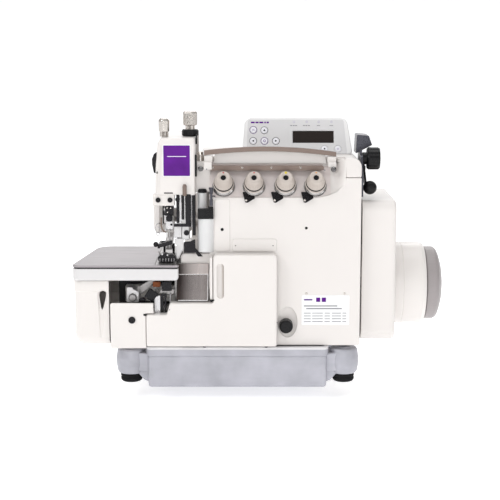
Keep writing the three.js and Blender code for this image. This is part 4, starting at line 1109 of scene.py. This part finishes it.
EYES = (-31.5, 6.8, 44.7, 82.6)
guide_face = slab([(-35, 289), (113, 289), (113, 295, 3.4), (-35, 295, 0.5)], "y", -81, -78.8, 0.3)
eye_cuts = [turned([(0, -90), (1.5, -90), (1.5, -70), (0, -70)], "y", (x, 292), 24) for x in EYES]
guide_flange = block((-35, -80.8, 288), (110, -69, 289.3), 0.3, "x")
piece("lower_guide_bar", merge(carved(guide_face, *eye_cuts), guide_flange), MACHINE,
      bronze_bar, ["lower_thread_guide"])
eyelets = [turned([(0.7, -81), (1.1, -81.35), (1.5, -81.1), (1.5, -78.8), (0.7, -78.8), (0.7, -81)], "y",
                  (x, 292), 24) for x in EYES]
piece("guide_eyelets", merge(*eyelets), MACHINE, nickel)
inner = (ARCH_X > -31) & (ARCH_X < 116.5)
recess_top = arch_foot[inner] + [0, 0.6]
recess_line = np.vstack([[(-31.5, 296.6), (117, 296.6)], recess_top[::-1]])
recess = slab(recess_line, "y", -72.6, -66.5, 0.5)
piece("guide_back_plate", recess, MACHINE, enamel)
ticks = merge(dimples([(-39.5, -84.5, 290.4)], 0.9), dimples([(113.6, -88.3, 289.5)], 0.9))
piece("guide_marks", ticks, MACHINE, print_grey)

# %% [markdown]
# ## Control panel
#
# A moulded shell with a printed membrane over its face, four signal lights, a tinted window and eight
# domed keys. We work in the panel's own upright frame, x across and h up, and lean each piece back with the
# shell. Printed signs are bodies a twentieth of a millimetre thick, so they export as shapes.

# %% Panel shell, membrane and window
PANEL_TILT = math.radians(-18)
PANEL_FOOT = (0, -30, 304)
FILM_FACE = -0.22
PANEL_LEVEL = 305.5
shell_line = [(5.8, 0, 6), (154.7, 0, 6), (147.2, 51.4, 10), (10.1, 51.4, 10)]


def on_panel(shape):
    """A shape in the panel's frame, leaned back into place."""
    return leaned(shape, PANEL_FOOT, PANEL_TILT)


WINDOW = (74.2, 129.0, 16.7, 32.8)
LAMP_XS = (75.9, 93.1, 109.1, 126.3)
KEYS = {"key_menu": (21.3, 34.2), "key_up": (36.1, 33.8), "key_left": (21.1, 19), "key_ok": (36.2, 19),
        "key_right": (51.6, 19), "key_down": (36.2, 7.2), "key_light": (116.8, 8.2), "key_trim": (134.7, 8.2)}
shell_block = slab(shell_line, "y", 0, 22, 3.0, 1.6)
window_well = block((WINDOW[0] - 0.3, -2, WINDOW[2] - 0.3), (WINDOW[1] + 0.3, 5, WINDOW[3] + 0.3), 0, "y")
key_wells = [turned([(0, -2), (4.7, -2), (4.7, 3.4), (0, 3.4)], "y", at, 32) for at in KEYS.values()]
below_roof = block((-40, -120, 240), (220, 80, PANEL_LEVEL), 0, "z")
panel_body = carved(on_panel(carved(shell_block, window_well, *key_wells)), below_roof)
piece("panel_case", panel_body, MACHINE, panel_shell, ["panel_housing"])

film_line = [(12.4, 1.5, 2), (147.0, 1.5, 2), (142.6, 48.4, 3), (14.0, 48.4, 3)]
film = carved(slab(film_line, "y", FILM_FACE, 0.3, 0, 0.1), window_well, *key_wells)
film = carved(on_panel(film), below_roof)
piece("panel_membrane", film, MACHINE, panel_film)
frame_line = block((WINDOW[0] + 0.3, 0.25, WINDOW[2] + 0.3), (WINDOW[1] - 0.3, 4.6, WINDOW[3] - 0.3), 0.25,
                   "y")
piece("panel_window", on_panel(frame_line), MACHINE, window_dark, ["display_module"])


def print_box(x0, x1, h0, h1, thick=0.05):
    """A thin printed bar that lies on the membrane."""
    return block((x0, FILM_FACE - thick, h0), (x1, 0.1, h1), 0, "y")


rule_parts = [print_box(x, x + w, 43.4, 45.6) for x, w in ((18.0, 5.2), (24.2, 4.2), (29.4, 5.4),
                                                           (36.0, 2.2), (39.2, 3.0))]
piece("panel_heading", on_panel(merge(*rule_parts)), MACHINE, print_violet)
caption_parts = [print_box(x - w / 2 + k * w / 3, x - w / 2 + (k + 0.75) * w / 3, 39.7, 40.9)
                 for x, w in zip(LAMP_XS, (10, 10, 4.6, 5)) for k in range(3)]
piece("panel_captions", on_panel(merge(*caption_parts)), MACHINE, print_grey)
lamp_profile = soft_profile([(0, 0), (1.9, 0), (1.9, -0.35, 0.2), (1.2, -0.6, 0.2), (0, -0.65)], 4)
lights = [turned(lamp_profile, "y", (x, 45.4), 24) for x in LAMP_XS]
piece("panel_lamps", on_panel(merge(*lights)), MACHINE, lamp_clear)

# %% Keys and their signs
key_dome = soft_profile([(0, 2.4), (4.35, 2.4), (4.4, 0.1, 0.4), (4.1, -0.45, 0.4), (3.4, -0.75, 0.6),
                         (0, -1)], 4)
ARROW = [(-1.5, -1.2), (1.5, -1.2), (0, 1.7)]


def sign_arrow(u, v, turn):
    """A small triangle pointing up, turned by quarter turns."""
    c, s = round(math.cos(turn * math.pi / 2)), round(math.sin(turn * math.pi / 2))
    return slab([(u + c * a - s * b, v + s * a + c * b) for a, b in ARROW], "y", -1.06, -0.8, 0)


def ring_print(u, v, inner, outer):
    """A printed ring on the membrane round a key."""
    return turned([(inner, -0.34), (outer, -0.34), (outer, 0), (inner, 0), (inner, -0.34)], "y", (u, v), 48)


SIGN_TURNS = {"key_up": 0, "key_left": 1, "key_down": 2, "key_right": 3}
for node, (u, v) in KEYS.items():
    body = body_of[node]
    piece(node + "_dome", carved(on_panel(turned(key_dome, "y", (u, v), 48)), below_roof), body,
          key_white, [node])
    violet = node in ("key_ok", "key_menu", "key_trim")
    if v > 9:
        piece(node + "_ring", on_panel(ring_print(u, v, 4.75, 5.15)), MACHINE,
              print_violet if violet else key_edge)
    if node in SIGN_TURNS and v > 9:
        sign = sign_arrow(u, v, SIGN_TURNS[node])
    elif node == "key_ok":
        sign = turned([(1.1, -1.06), (1.7, -1.06), (1.7, -0.8), (1.1, -0.8), (1.1, -1.06)], "y", (u, v), 32)
    elif node == "key_light":
        sign = turned([(0, -0.8), (1.0, -0.8), (1.0, -1.06), (0, -1.06)], "y", (u, v), 24)
    elif node == "key_down":
        continue
    else:
        sign = merge(block((u - 1.5, -1.06, v + 0.5), (u + 1.5, -0.8, v + 0.9), 0, "y"),
                     block((u - 1.5, -1.06, v - 0.9), (u + 1.5, -0.8, v - 0.5), 0, "y"))
    tone = print_violet if violet else print_black
    piece(node + "_sign", on_panel(sign), body, tone)
print("panel keys:", len(KEYS))

# %% [markdown]
# ## The sewing area
#
# Between the head and the cloth plate hang the needle bar, its clamp, the presser and the upper knife. Nearly
# all of it is black-oxide or bright steel, packed close. The fixed slides and guards stand a few millimetres
# in front of the knife and the needle clamp, so those can make their whole stroke without touching them.

# %% Needle bar and clamps
NEEDLE = (-92.0, -66.0)
bar_skin = turned(soft_profile([(0, 238), (3.6, 238, 0.4), (3.6, 324, 0.4), (0, 324)], 4), "z", NEEDLE, 40)
piece("needle_bar_rod", bar_skin, "needle_set", bright_steel, ["needle_bar"])
clamp_body = merge(turned(soft_profile([(0, 214), (3.4, 214, 0.4), (5, 218, 1), (5, 229.5, 0.6),
                                        (0, 229.5)], 4), "z", NEEDLE, 40),
                   turned(soft_profile([(0, 229.6), (5.2, 229.6, 0.5), (5.2, 237.7, 0.5), (0, 237.7)], 4),
                          "z", NEEDLE, 40))
needle_profile = [(0, 181), (0.25, 182), (0.5, 184), (0.62, 200), (0.62, 206), (0.9, 207), (0.9, 216),
                  (0, 216)]
needles = [turned(needle_profile, "z", (NEEDLE[0] + d, NEEDLE[1]), 20) for d in (-2.4, 2.4)]
clamp_face = block((-94.4, -72.6, 209.2), (-84.4, -62.5, 220.6), 0.9, "y")
piece("needle_clamp_body", merge(clamp_body, clamp_face, *needles), "needle_set",
      bright_steel, ["needle_clamp"])
clamp_upper = merge(block((-95, -73.6, 227.6), (-83.4, -64, 240.2), 0.9, "y"),
                    block((-98.6, -70, 228), (-95, -64, 234), 0.6, "y"))
piece("needle_clamp_cap", clamp_upper, "needle_set", black_oxide)
angle8 = np.linspace(0, 2 * math.pi, 8, endpoint=False) + math.pi / 8
NUT = (-89.2, 224.6)
octagon = [(NUT[0] + 4.6 * math.cos(a), NUT[1] + 4.6 * math.sin(a)) for a in angle8]
nut_end = turned([(0, -78.2), (1.9, -78.2), (2.2, -77.6), (2.2, -77), (0, -77)], "y", NUT, 24)
clamp_screw = merge(slab(octagon, "y", -77.4, -70, 0.5), nut_end)
piece("needle_clamp_screw", clamp_screw, "needle_set", black_oxide)
clamp_dots = merge(*[turned([(0, -74.4), (0.8, -74.2), (1.1, -73.6), (1.1, -73), (0, -73)], "y", (x, z), 20)
                     for x, z in ((-92.2, 238.0), (-87.4, 238.0), (-91.6, 232.4))])
piece("needle_clamp_dots", clamp_dots, "needle_set", nickel)
# A black disc paints the shade in the hole of the needle clamp.
piece("needle_set_hole", dimples([(-86.8, -72.6, 215.9)], 1.5), "needle_set", plastic_black)

# %% Slides and posts under the head
face_block = block((-110.4, -82, 242), (-81.6, -72.4, 257.6), 1.2, "y")
cheek_plate = slab([(-110.6, 208, 2), (-103.8, 201, 2), (-102.6, 242), (-110.4, 242)], "y", -62, -58.5, 0.5)
POST_PLACE = (-45.6, -72)
cream_post = turned(soft_profile([(0, 237.6), (5.6, 237.6, 0.5), (5.6, 258.4, 0.4), (0, 258.4)], 4), "z",
                    POST_PLACE, 40)
column_round = turned(soft_profile([(0, 182), (10.9, 182, 0.6), (10.9, 226.4, 0.6), (0, 226.4)], 4), "z",
                      (-40.0, -82.6), 64)
head_tongue = slab([(-108.4, 202, 2), (-85.2, 202, 1), (-85.2, 246), (-108.4, 246)], "y", -52, -47.5, 0.6)
# Black strips paint the shade in the tongue's slot and the shadow under the left end of the face block.
tongue_slot = block((-99.6, -52.3, 214), (-96.8, -51, 243), 0.3, "y")
tongue_shadow_strip = block((-109.6, -62.3, 239.4), (-103.4, -61, 241.6), 0.3, "y")
piece("needle_side_block", merge(face_block, cheek_plate, head_tongue), MACHINE, enamel)
piece("head_tongue_slot_and_shadow", merge(tongue_slot, tongue_shadow_strip), MACHINE, black_oxide)
piece("column_round", merge(cream_post, column_round), MACHINE, enamel_grey)
piece("side_block_screws", merge(socket_screw(-103.1, 249.8, -82, 3.3, height=1.9),
                                 socket_screw(-87.6, 249.8, -82, 3.3, height=1.9)), MACHINE,
      black_oxide)
slides = merge(block((-79.4, -84.2, 219.6), (-75.6, -77.8, 257), 0.5, "z"),
               block((-67.4, -84.8, 218), (-60.6, -77.8, 257.6), 0.8, "z"),
               block((-72.4, -83.4, 224), (-69.2, -77.8, 257), 0.4, "z"),
               block((-82.7, -86.4, 215), (-60.1, -80.2, 218.8), 0.5, "x"),
               block((-58.9, -75, 201.6), (-54.6, -69, 256.4), 0.8, "z"),
               block((-62, -71, 225), (-57, -69, 252), 0.3, "z"), block((-79.5, -78.6, 246),
                                                                        (-60.6, -60.5, 256), 0.8, "z"))
piece("knife_slides", slides, MACHINE, black_oxide)
piece("slide_screw", socket_screw(-77.6, 250.8, -84.6, 3.0, height=1.4), MACHINE,
      black_oxide)
rails = merge(block((-75.2, -82.8, 220), (-72.8, -77.8, 256.4), 0.3, "z"),
              block((-69.0, -82.8, 224), (-67.7, -77.8, 256), 0.2, "z"),
              block((-60.4, -73, 212), (-59.1, -69, 255.6), 0.3, "z"))
piece("slide_rails", rails, MACHINE, bright_steel)
pin_profile = soft_profile([(0, 256), (2.7, 256, 0.4), (2.7, 268.6, 1.2), (1.6, 271, 0.6), (0, 271)], 4)
piece("head_guide_pin", turned(pin_profile, "z", (-68.2, -87.0), 32), MACHINE,
      bronze_bar)
cap_profile = soft_profile([(0, 258.4), (6.0, 258.4, 0.5), (6.2, 261.6, 1.4), (4.6, 263.4, 1), (0, 263.8)], 4)
cap_black = turned(cap_profile, "z", POST_PLACE, 40)
box_black = merge(block((-51.2, -94, 226.2), (-30.6, -84, 239.6), 0.8, "y"),
                  block((-37.4, -93, 238), (-31, -84, 242.4), 0.6, "y"),
                  block((-40, -95.4, 229), (-33, -93.4, 236.6), 0.5, "y"))
piece("oil_block", merge(cap_black, box_black), MACHINE, plastic_black)
post = turned(soft_profile([(0, 243.4), (2.3, 243.4, 0.3), (2.3, 251, 0.4), (1.6, 252.4, 0.3),
                            (1.6, 258, 0.3), (2.4, 259.6, 0.4), (2.4, 264, 0.4), (3.3, 265.4, 0.6),
                            (3.3, 267.4, 0.5), (0, 267.6)], 4), "z", (-33.4, -91.6), 32)
post_arm = tube(smooth_path([(-33.4, -91.6, 255), (-31, -92.6, 256.4), (-28.4, -92.2, 255.8)], 12), 0.8, 12)
piece("thread_post", merge(post, post_arm), MACHINE, blued_steel)

# %% Presser, knife and guards
front_bar = slab([(-103.4, 186.8, 1), (-85.0, 191.6, 1.4), (-85.0, 197.2, 1.4), (-103.4, 191.6, 1)], "y",
                 -86.0, -81.4, 0.6)
arm_link = merge(block((-104.6, -84, 185.8), (-101.4, -41, 189.6), 0.6, "y"),
                 block((-104, -45.6, 185.8), (-94, -41.4, 189.6), 0.6, "x"))
piece("presser_arm_bar", cad_shape("presser_arm"), "presser_arm_set", dull_steel,
      ["presser_arm"])
piece("presser_front_bar", merge(front_bar, arm_link), "presser_arm_set", black_oxide)
stop_ball = turned(ball_profile(3.5, -85.4, 12), "y", (-106.6, 191.6), 32)
stop_stem = tube([(-106.6, -84.6, 191.6), (-104.8, -83.6, 190.6), (-103, -82.6, 189.6)], 1.1, 12)
foot_wire_path = [(-103.2, -81.6, 181.6), (-102.4, -82.2, 180), (-101.4, -83, 178), (-100.6, -83.6, 174.6)]
foot_wire = tube(smooth_path(foot_wire_path, 16), 0.8, 12)
piece("presser_stop_ball", merge(stop_ball, stop_stem), "presser_arm_set", black_oxide)
sole = carved(slab([(-104, -83, 3), (-100, -86, 3), (-80.4, -86, 3), (-80.4, -38, 2), (-104, -38, 2)], "z",
                   168.4, 172.6, 0.8), block((-96, -70, 160), (-88, -60, 180), 0, "z"))
sole_cover = slab([(-104, 170, 1), (-80.6, 170, 1), (-80.6, 174.4, 1.5), (-85, 178.4, 1), (-90, 177.2, 1),
                   (-93, 179.6, 1), (-99, 179.4, 1.5), (-104, 174.6, 1)], "y", -85.2, -74, 0.8)
TOOTH_XS = (-101.4, -97.6, -93.8, -90.0, -86.2, -82.9)
tooth_cuts = [block((x - 0.5, -87, 167), (x + 0.5, -79, 173.4), 0, "y") for x in TOOTH_XS]
ears = merge(block((-99.6, -47, 171), (-96.8, -38, 186), 0.8, "x", 3),
             block((-87.4, -47, 171), (-84.4, -38, 186), 0.8, "x", 3))
foot_pin = turned([(0, -99.6), (2, -99.6), (2, -84.4), (0, -84.4)], "x", (-42, 182), 24)
foot_body = merge(carved(sole, *tooth_cuts), carved(sole_cover, *tooth_cuts), ears, foot_pin)
piece("presser_foot_body", foot_body, "presser_foot_set", black_oxide, ["presser_foot"])
foot_teeth = merge(*[block((x - 0.35, -85.6, 168.6), (x + 0.35, -83, 172.8), 0.15, "y") for x in TOOTH_XS])
piece("presser_foot_teeth", foot_teeth, "presser_foot_set", bright_steel)
piece("presser_foot_wire", foot_wire, "presser_foot_set", dull_steel)
toe = merge(turned([(0, -86), (1.2, -86), (1.5, -85.4), (1.5, -84), (0, -84)], "y", (-98.4, 178.6), 20),
            turned([(0, -86), (1.0, -86), (1.3, -85.4), (1.3, -84), (0, -84)], "y", (-91.6, 177.4), 20))
piece("presser_foot_pins", toe, "presser_foot_set", bright_steel)

knife_arm = softened(cad_shape("upper_knife_arm"), 1.0, 8)
piece("knife_arm_body", knife_arm, "knife_set", plate_side, ["upper_knife_arm"])
knife_front = merge(block((-83.1, -76.6, 199), (-73.4, -72.4, 214.6), 0.9, "y"),
                    block((-72.6, -77.2, 196.4), (-63.2, -72.4, 216.2), 0.9, "y"))
piece("knife_clamp", knife_front, "knife_set", plate_side)
piece("knife_clamp_screw", socket_screw(-66.6, 205.8, -77.2, 3.6, height=1.6), "knife_set",
      black_oxide)
blade = slab([(-80.0, 172), (-78.6, 171.4), (-70.8, 184.6, 1), (-70.4, 198), (-82.4, 198), (-82.4, 192),
              (-80.0, 189.6)], "y", -78.5, -76.8, 0.2)
piece("knife_blade", merge(blade, cad_shape("upper_knife")), "knife_set", plate_side,
      ["upper_knife"])
guard = slab([(-70.2, 179.4), (-70.2, 193.8, 1), (-62, 194.6, 2), (-55.2, 198, 1), (-55, 186),
              (-45.2, 174.6), (-51.6, 174.6), (-55, 179.4)], "y", -80.4, -78.8, 0.3)
piece("knife_guard", guard, MACHINE, black_oxide)
hook_path = [(-99.4, -76, 226), (-99.8, -77, 220), (-99.2, -77.6, 213), (-96.8, -77, 208),
             (-93.6, -76, 206.4)]
needle_hook = tube(smooth_path(hook_path, 24), 1.0, 12)
piece("needle_hook", needle_hook, "needle_set", bronze_bar)
loops_path = [(-98.5, -72, 216), (-103, -78, 218.6), (-107.4, -80, 214.2), (-106.4, -80, 207.4),
              (-101.6, -79, 206), (-100.4, -78, 211), (-104.6, -79, 214)]
loops_low = [(-104.8, -79, 206.6), (-106.6, -80, 204.2), (-103.8, -80, 201.8), (-101.8, -79, 204.2),
             (-104, -78, 207)]
loops = merge(tube(smooth_path(loops_path, 40), 0.5, 10), tube(smooth_path(loops_low, 30), 0.5, 10))
piece("thread_wires", loops, MACHINE, bright_steel)
v_path = [(-79.5, -84, 168.3), (-78.4, -84, 169.2), (-76.4, -83.6, 171.6), (-71.4, -81.6, 181.4)]
v_wire = tube(smooth_path(v_path, 24), 0.55, 10)
piece("edge_wire", v_wire, MACHINE, black_oxide)
print("sewing area made")

# %% [markdown]
# ## The looper cavity and the chip chute
#
# Under the cloth plate the cavity lies in deep shadow, painted by a black sheet at its back. A row of small
# bodies
# shows there: a bright bearing block with the end of a shaft, a square clamp turned on its corner, an oiling
# felt and two guide plates. The chute beside it is one bent sheet, and a bright bead along its bend is a
# painted highlight.

# %% Looper cavity
LOOPER_SHAFT = (-138, 120.8)
SQUARE_PLACE, SQUARE_REACH = (-113.2, 124.6), 9.6
# A black sheet at the back of the cavity paints the shadow under the cloth plate.
cavity_back = block((-160, -46.4, 98), (-84, -45, 158), 0.2, "y")
piece("cavity_shadow", cavity_back, MACHINE, hollow_painted_shadow)
bearing = carved(slab([(-146, 114.4, 1), (-129.8, 114.4, 2), (-129.8, 128, 3), (-137, 131.6, 4),
                       (-139, 134.4, 1), (-146, 134.4, 1)], "y", -86, -61, 0.7),
                 turned([(0, -90), (5.4, -90), (5.4, -50), (0, -50)], "y", LOOPER_SHAFT, 40))
piece("looper_bearing", bearing, MACHINE, plate_side)
shaft_end = turned(soft_profile([(0, -91), (4.3, -91, 0.5), (4.9, -90, 0.4), (4.9, -84), (0, -84)], 4), "y",
                   LOOPER_SHAFT, 40)
piece("looper_shaft_end", shaft_end, "lower_looper_set", dull_steel)
black_knob = turned(soft_profile([(0, -92.4), (3.6, -92.4, 0.6), (4.4, -91, 0.8), (4.4, -86.5), (0, -86.5)],
                                 4), "y", (-125.0, 117.4), 40)
turned_square = [(SQUARE_PLACE[0] + SQUARE_REACH * math.cos(a),
                  SQUARE_PLACE[1] + SQUARE_REACH * math.sin(a), 1.2)
                 for a in np.radians([12, 102, 192, 282])]
clamp_square = slab(turned_square, "y", -91.4, -86.6, 0.8)
upper_dark = merge(block((-150, -48.8, 140), (-118, -46.6, 147), 0.6, "y"),
                   block((-99, -93, 130.6), (-86, -86.8, 143), 0.8, "y"))
piece("looper_clamps", merge(black_knob, clamp_square, upper_dark), MACHINE, black_oxide)
piece("oiling_felt", block((-111.4, -84.6, 134.4), (-101.4, -78, 141.2), 0.9, "y"), MACHINE,
      felt_rust)
arch_plate = slab([(-103.4, 126.6, 1), (-99, 124.6), (-84, 124.6), (-82.8, 129.6, 1.5), (-86, 131.8, 1),
                   (-100, 131.8, 1)], "y", -83.4, -80, 0.5)
silver = slab([(-109.4, 97.6), (-101.4, 97.6), (-101.4, 124.6, 1), (-109.2, 121.4, 1)], "y", -89.8, -88.2,
              0.3)
slot_bar = carved(slab([(-100.6, 98.6), (-94.2, 98.6), (-92.8, 126, 1), (-100.6, 126, 1)], "y", -88.6,
                       -86.2, 0.3), block((-97.4, -90, 101), (-95.8, -84, 123), 0, "y"))
rod_thin = tube([(-88.3, -86, 126), (-88.4, -86.5, 120), (-88.7, -87, 108)], 0.8, 12)
piece("looper_guide_plate", merge(silver, rod_thin), MACHINE, bright_steel)
piece("looper_arch_plate", arch_plate, MACHINE, dull_steel)
piece("looper_slot_bar", slot_bar, MACHINE, black_oxide)
# A black block paints the shade in the notch at the corner of the looper cover.
notch = block((-122.6, -104.3, 99.8), (-119.3, -103.4, 102.6), 0.1, "y")
dot_mark = dimples([(-88.2, -106, 108.4)], 0.8)
piece("cover_notch", notch, MACHINE, plastic_black)
piece("cover_dot", dot_mark, COVER_BODY, print_grey)
piece("front_left_screw", socket_screw(-137.7, 94.2, -104, 4.6, height=1.3), MACHINE,
      black_oxide)

# %% Chip chute
chute_line = [(-75.6, 163), (-78, 163), (-80, 151), (-80.6, 149.6), (-90, 130, 10), (-98, 119),
              (-95.4, 117.5), (-87.6, 128, 10), (-77.5, 149, 6)]
chute_sheet = slab(chute_line, "x", -79.4, -37.6, 0.3)
piece("chute_sheet", chute_sheet, MACHINE, chute_steel, ["chip_chute"])
upper_line = [(-75.2, 164.8), (-78.2, 164.8), (-80.3, 151.6), (-77.8, 151.6)]
# The upper lip is given the darker copy of the sheet: painted shade.
piece("chute_upper", slab(upper_line, "x", -79.0, -37.9, 0.2), MACHINE, chute_painted_shade)
edge_path = smooth_path([(-38.6, -81.0, 150.6), (-38.6, -90.6, 130.6), (-38.6, -98.2, 119.6)], 16)
foot_path = [(-38.6, -98.5, 119.2), (-60, -98.5, 119.2), (-77.4, -98.5, 119.2)]
# A bright bead along the bend is a painted highlight.
bend_highlight = tube([(-78.6, -80.5, 150.6), (-60, -80.5, 150.6), (-38.6, -80.5, 150.6)], 0.5, 10)
piece("chute_hem_and_bend_highlight", merge(tube(edge_path, 0.7, 10), tube(foot_path, 0.9, 10), bend_highlight), MACHINE,
      plate_side)
piece("chute_clip", slab([(-34.2, 118.2), (-29.6, 120.6), (-29.8, 122.2), (-35.2, 121)], "y", -106.2,
                         -105.2, 0.1), COVER_BODY, plastic_black)
cream_strip = block((-35.4, -104, 122), (-32.0, -90, 177), 0.6, "y")
piece("chute_side_strip", cream_strip, MACHINE, enamel)
print("cavity and chute made")

# %% [markdown]
# ## Right side: push-button, nameplate, feed lever and lock knob
#
# The push-button sits in an oval hollow in the bed's face. The nameplate is a thin white film with generic
# bars where a maker would print ratings. The feed lever ends in a black ball, and a knob with a scalloped
# rim locks it.

# %% Push-button
button = turned(soft_profile([(0, -96), (6.8, -96, 0.6), (8.6, -95, 1), (8.9, -93.6, 0.6), (8.9, -80),
                              (0, -80)], 5), "y", BUTTON, 56)
piece("stitch_button_cap", button, "stitch_button_set", plastic_black, ["stitch_button"])

# %% Nameplate
plate_film = slab(rectangle(85, 84, 148, 124, 1.5), "y", FRONT - 0.35, FRONT + 0.2, 0, 0.15)
piece("nameplate", plate_film, MACHINE, label_white)


def plate_bar(x0, x1, z0, z1):
    """A printed bar on the nameplate."""
    return block((x0, FRONT - 0.42, z0), (x1, FRONT - 0.2, z1), 0, "y")


violet_bars = [plate_bar(88, 99, 117.2, 119.0), plate_bar(104, 109.4, 115.2, 121),
               plate_bar(111.4, 117, 115.2, 121)]
grey_bars = [plate_bar(88 + 3 * (k % 2), 88 + w, z, z + 1.5) for k,
             (w, z) in enumerate(((44, 109), (50, 105.4)))]
grey_bars += [plate_bar(x, x + w, z, z + 0.9) for z in (99.6, 95.8, 92.0, 88.2)
              for x, w in ((88, 9), (99, 14), (115.4, 7), (125, 12), (139, 5))]
piece("nameplate_violet_bars", merge(*violet_bars), MACHINE, print_violet)
piece("nameplate_grey_bars", merge(*grey_bars), MACHINE, print_grey)
rivets = [turned([(0, FRONT - 1.0), (1.0, FRONT - 0.85), (1.5, FRONT - 0.3), (1.5, FRONT + 0.2),
                  (0, FRONT + 0.2)], "y", (x, z), 24) for x, z in ((91, 126.6), (141.4, 126.6))]
piece("nameplate_rivets", merge(*rivets), MACHINE, nickel)

# %% Feed lever and lock knob
bracket = softened(cad_shape("feed_lever_bracket"), 0.8, 6)
piece("lever_bracket", bracket, MACHINE, blued_steel, ["feed_lever_bracket"])
BALL_PLACE, BALL_Z, BALL_RADIUS = (175.3, -60.0), 263.5, 9.1
ball = turned(ball_profile(BALL_RADIUS, BALL_Z, 28), "z", BALL_PLACE, 56)
lever_arm = slab([(-14, 287, 6), (-24, 293, 6), (-65, 267.5, 4), (-63, 258.5, 4), (-18, 278, 6)], "x",
                 168.4, 171, 0.5)
lever_hole = turned([(0, 160), (3.3, 160), (3.3, 176), (0, 176)], "x", (-22, 286), 32)
piece("lever_arm", merge(carved(lever_arm, lever_hole), ball), "feed_lever_set",
      plastic_black, ["feed_lever"])


def scallop(angle, place):
    """Ten finger scallops round the lock knob's rim."""
    return -0.9 * ((place > 173) & (place < 187.6)) * (0.5 - 0.5 * np.cos(10 * angle))**2


lock_profile = soft_profile([(4.3, 166), (8, 166, 0.5), (8, 171.6, 0.6), (13.4, 172, 0.6), (15, 173.8, 1),
                             (15, 186.6, 1.2), (13.4, 189, 1), (7, 188.2, 1), (0, 188), (0, 186.4),
                             (4.3, 186.4), (4.3, 166)], 4)
piece("lock_grip", turned(lock_profile, "x", (-45, 300.8), 120, scallop), "lock_knob_set",
      plastic_black, ["feed_lock_knob"])
print("right side made")


# %% [markdown]
# ## The rest of the frame
#
# Every CAD node that still shows keeps its own mesh and gets the finish of what it is made of.

# %% Finishes for the CAD nodes that stay
SLOT_FINISH = {"cast_aluminium": cast_grey, "cushion_rubber": rubber_black, "cream_paint": enamel,
               "nickel": nickel, "machined_steel": dull_steel, "bronze_grey_metal": bronze_bar,
               "plate_steel": plate_top, "panel_grey": panel_shell, "display_brown": window_dark,
               "board_green": board_green, "winding_copper": copper_wire, "wheel_grey": wheel_grey,
               "knob_ivory": knob_ivory, "black_plastic": plastic_black, "key_white": key_white,}
for name, obj in nodes.items():
    obj.data.materials.clear()
    obj.data.materials.append(SLOT_FINISH[slot_of[name]])

# %% [markdown]
# ## Floor
#
# The floor is one sheet with a curve at the back.

# %% Floor
SWEEP = [(-4.0, 0.0), (6.0, 0.0), (8.0, 0.4), (9.4, 1.6), (10.0, 4.0), (10.0, 8.0)]
sweep_line = smooth_path(SWEEP, 40)
sweep_rows = np.stack([np.column_stack([np.full(40, x), sweep_line]) for x in (-12.0, 12.0)], 1)
floor_mesh = bpy.data.meshes.new("paper_sweep")
floor_points, floor_faces = grid(sweep_rows)
floor_mesh.from_pydata(floor_points.tolist(), [], floor_faces)
floor_mesh.polygons.foreach_set("use_smooth", np.ones(len(floor_mesh.polygons), bool))
floor_mesh.materials.append(floor_paper)
floor_object = bpy.data.objects.new("paper_sweep", floor_mesh)
bpy.context.scene.collection.objects.link(floor_object)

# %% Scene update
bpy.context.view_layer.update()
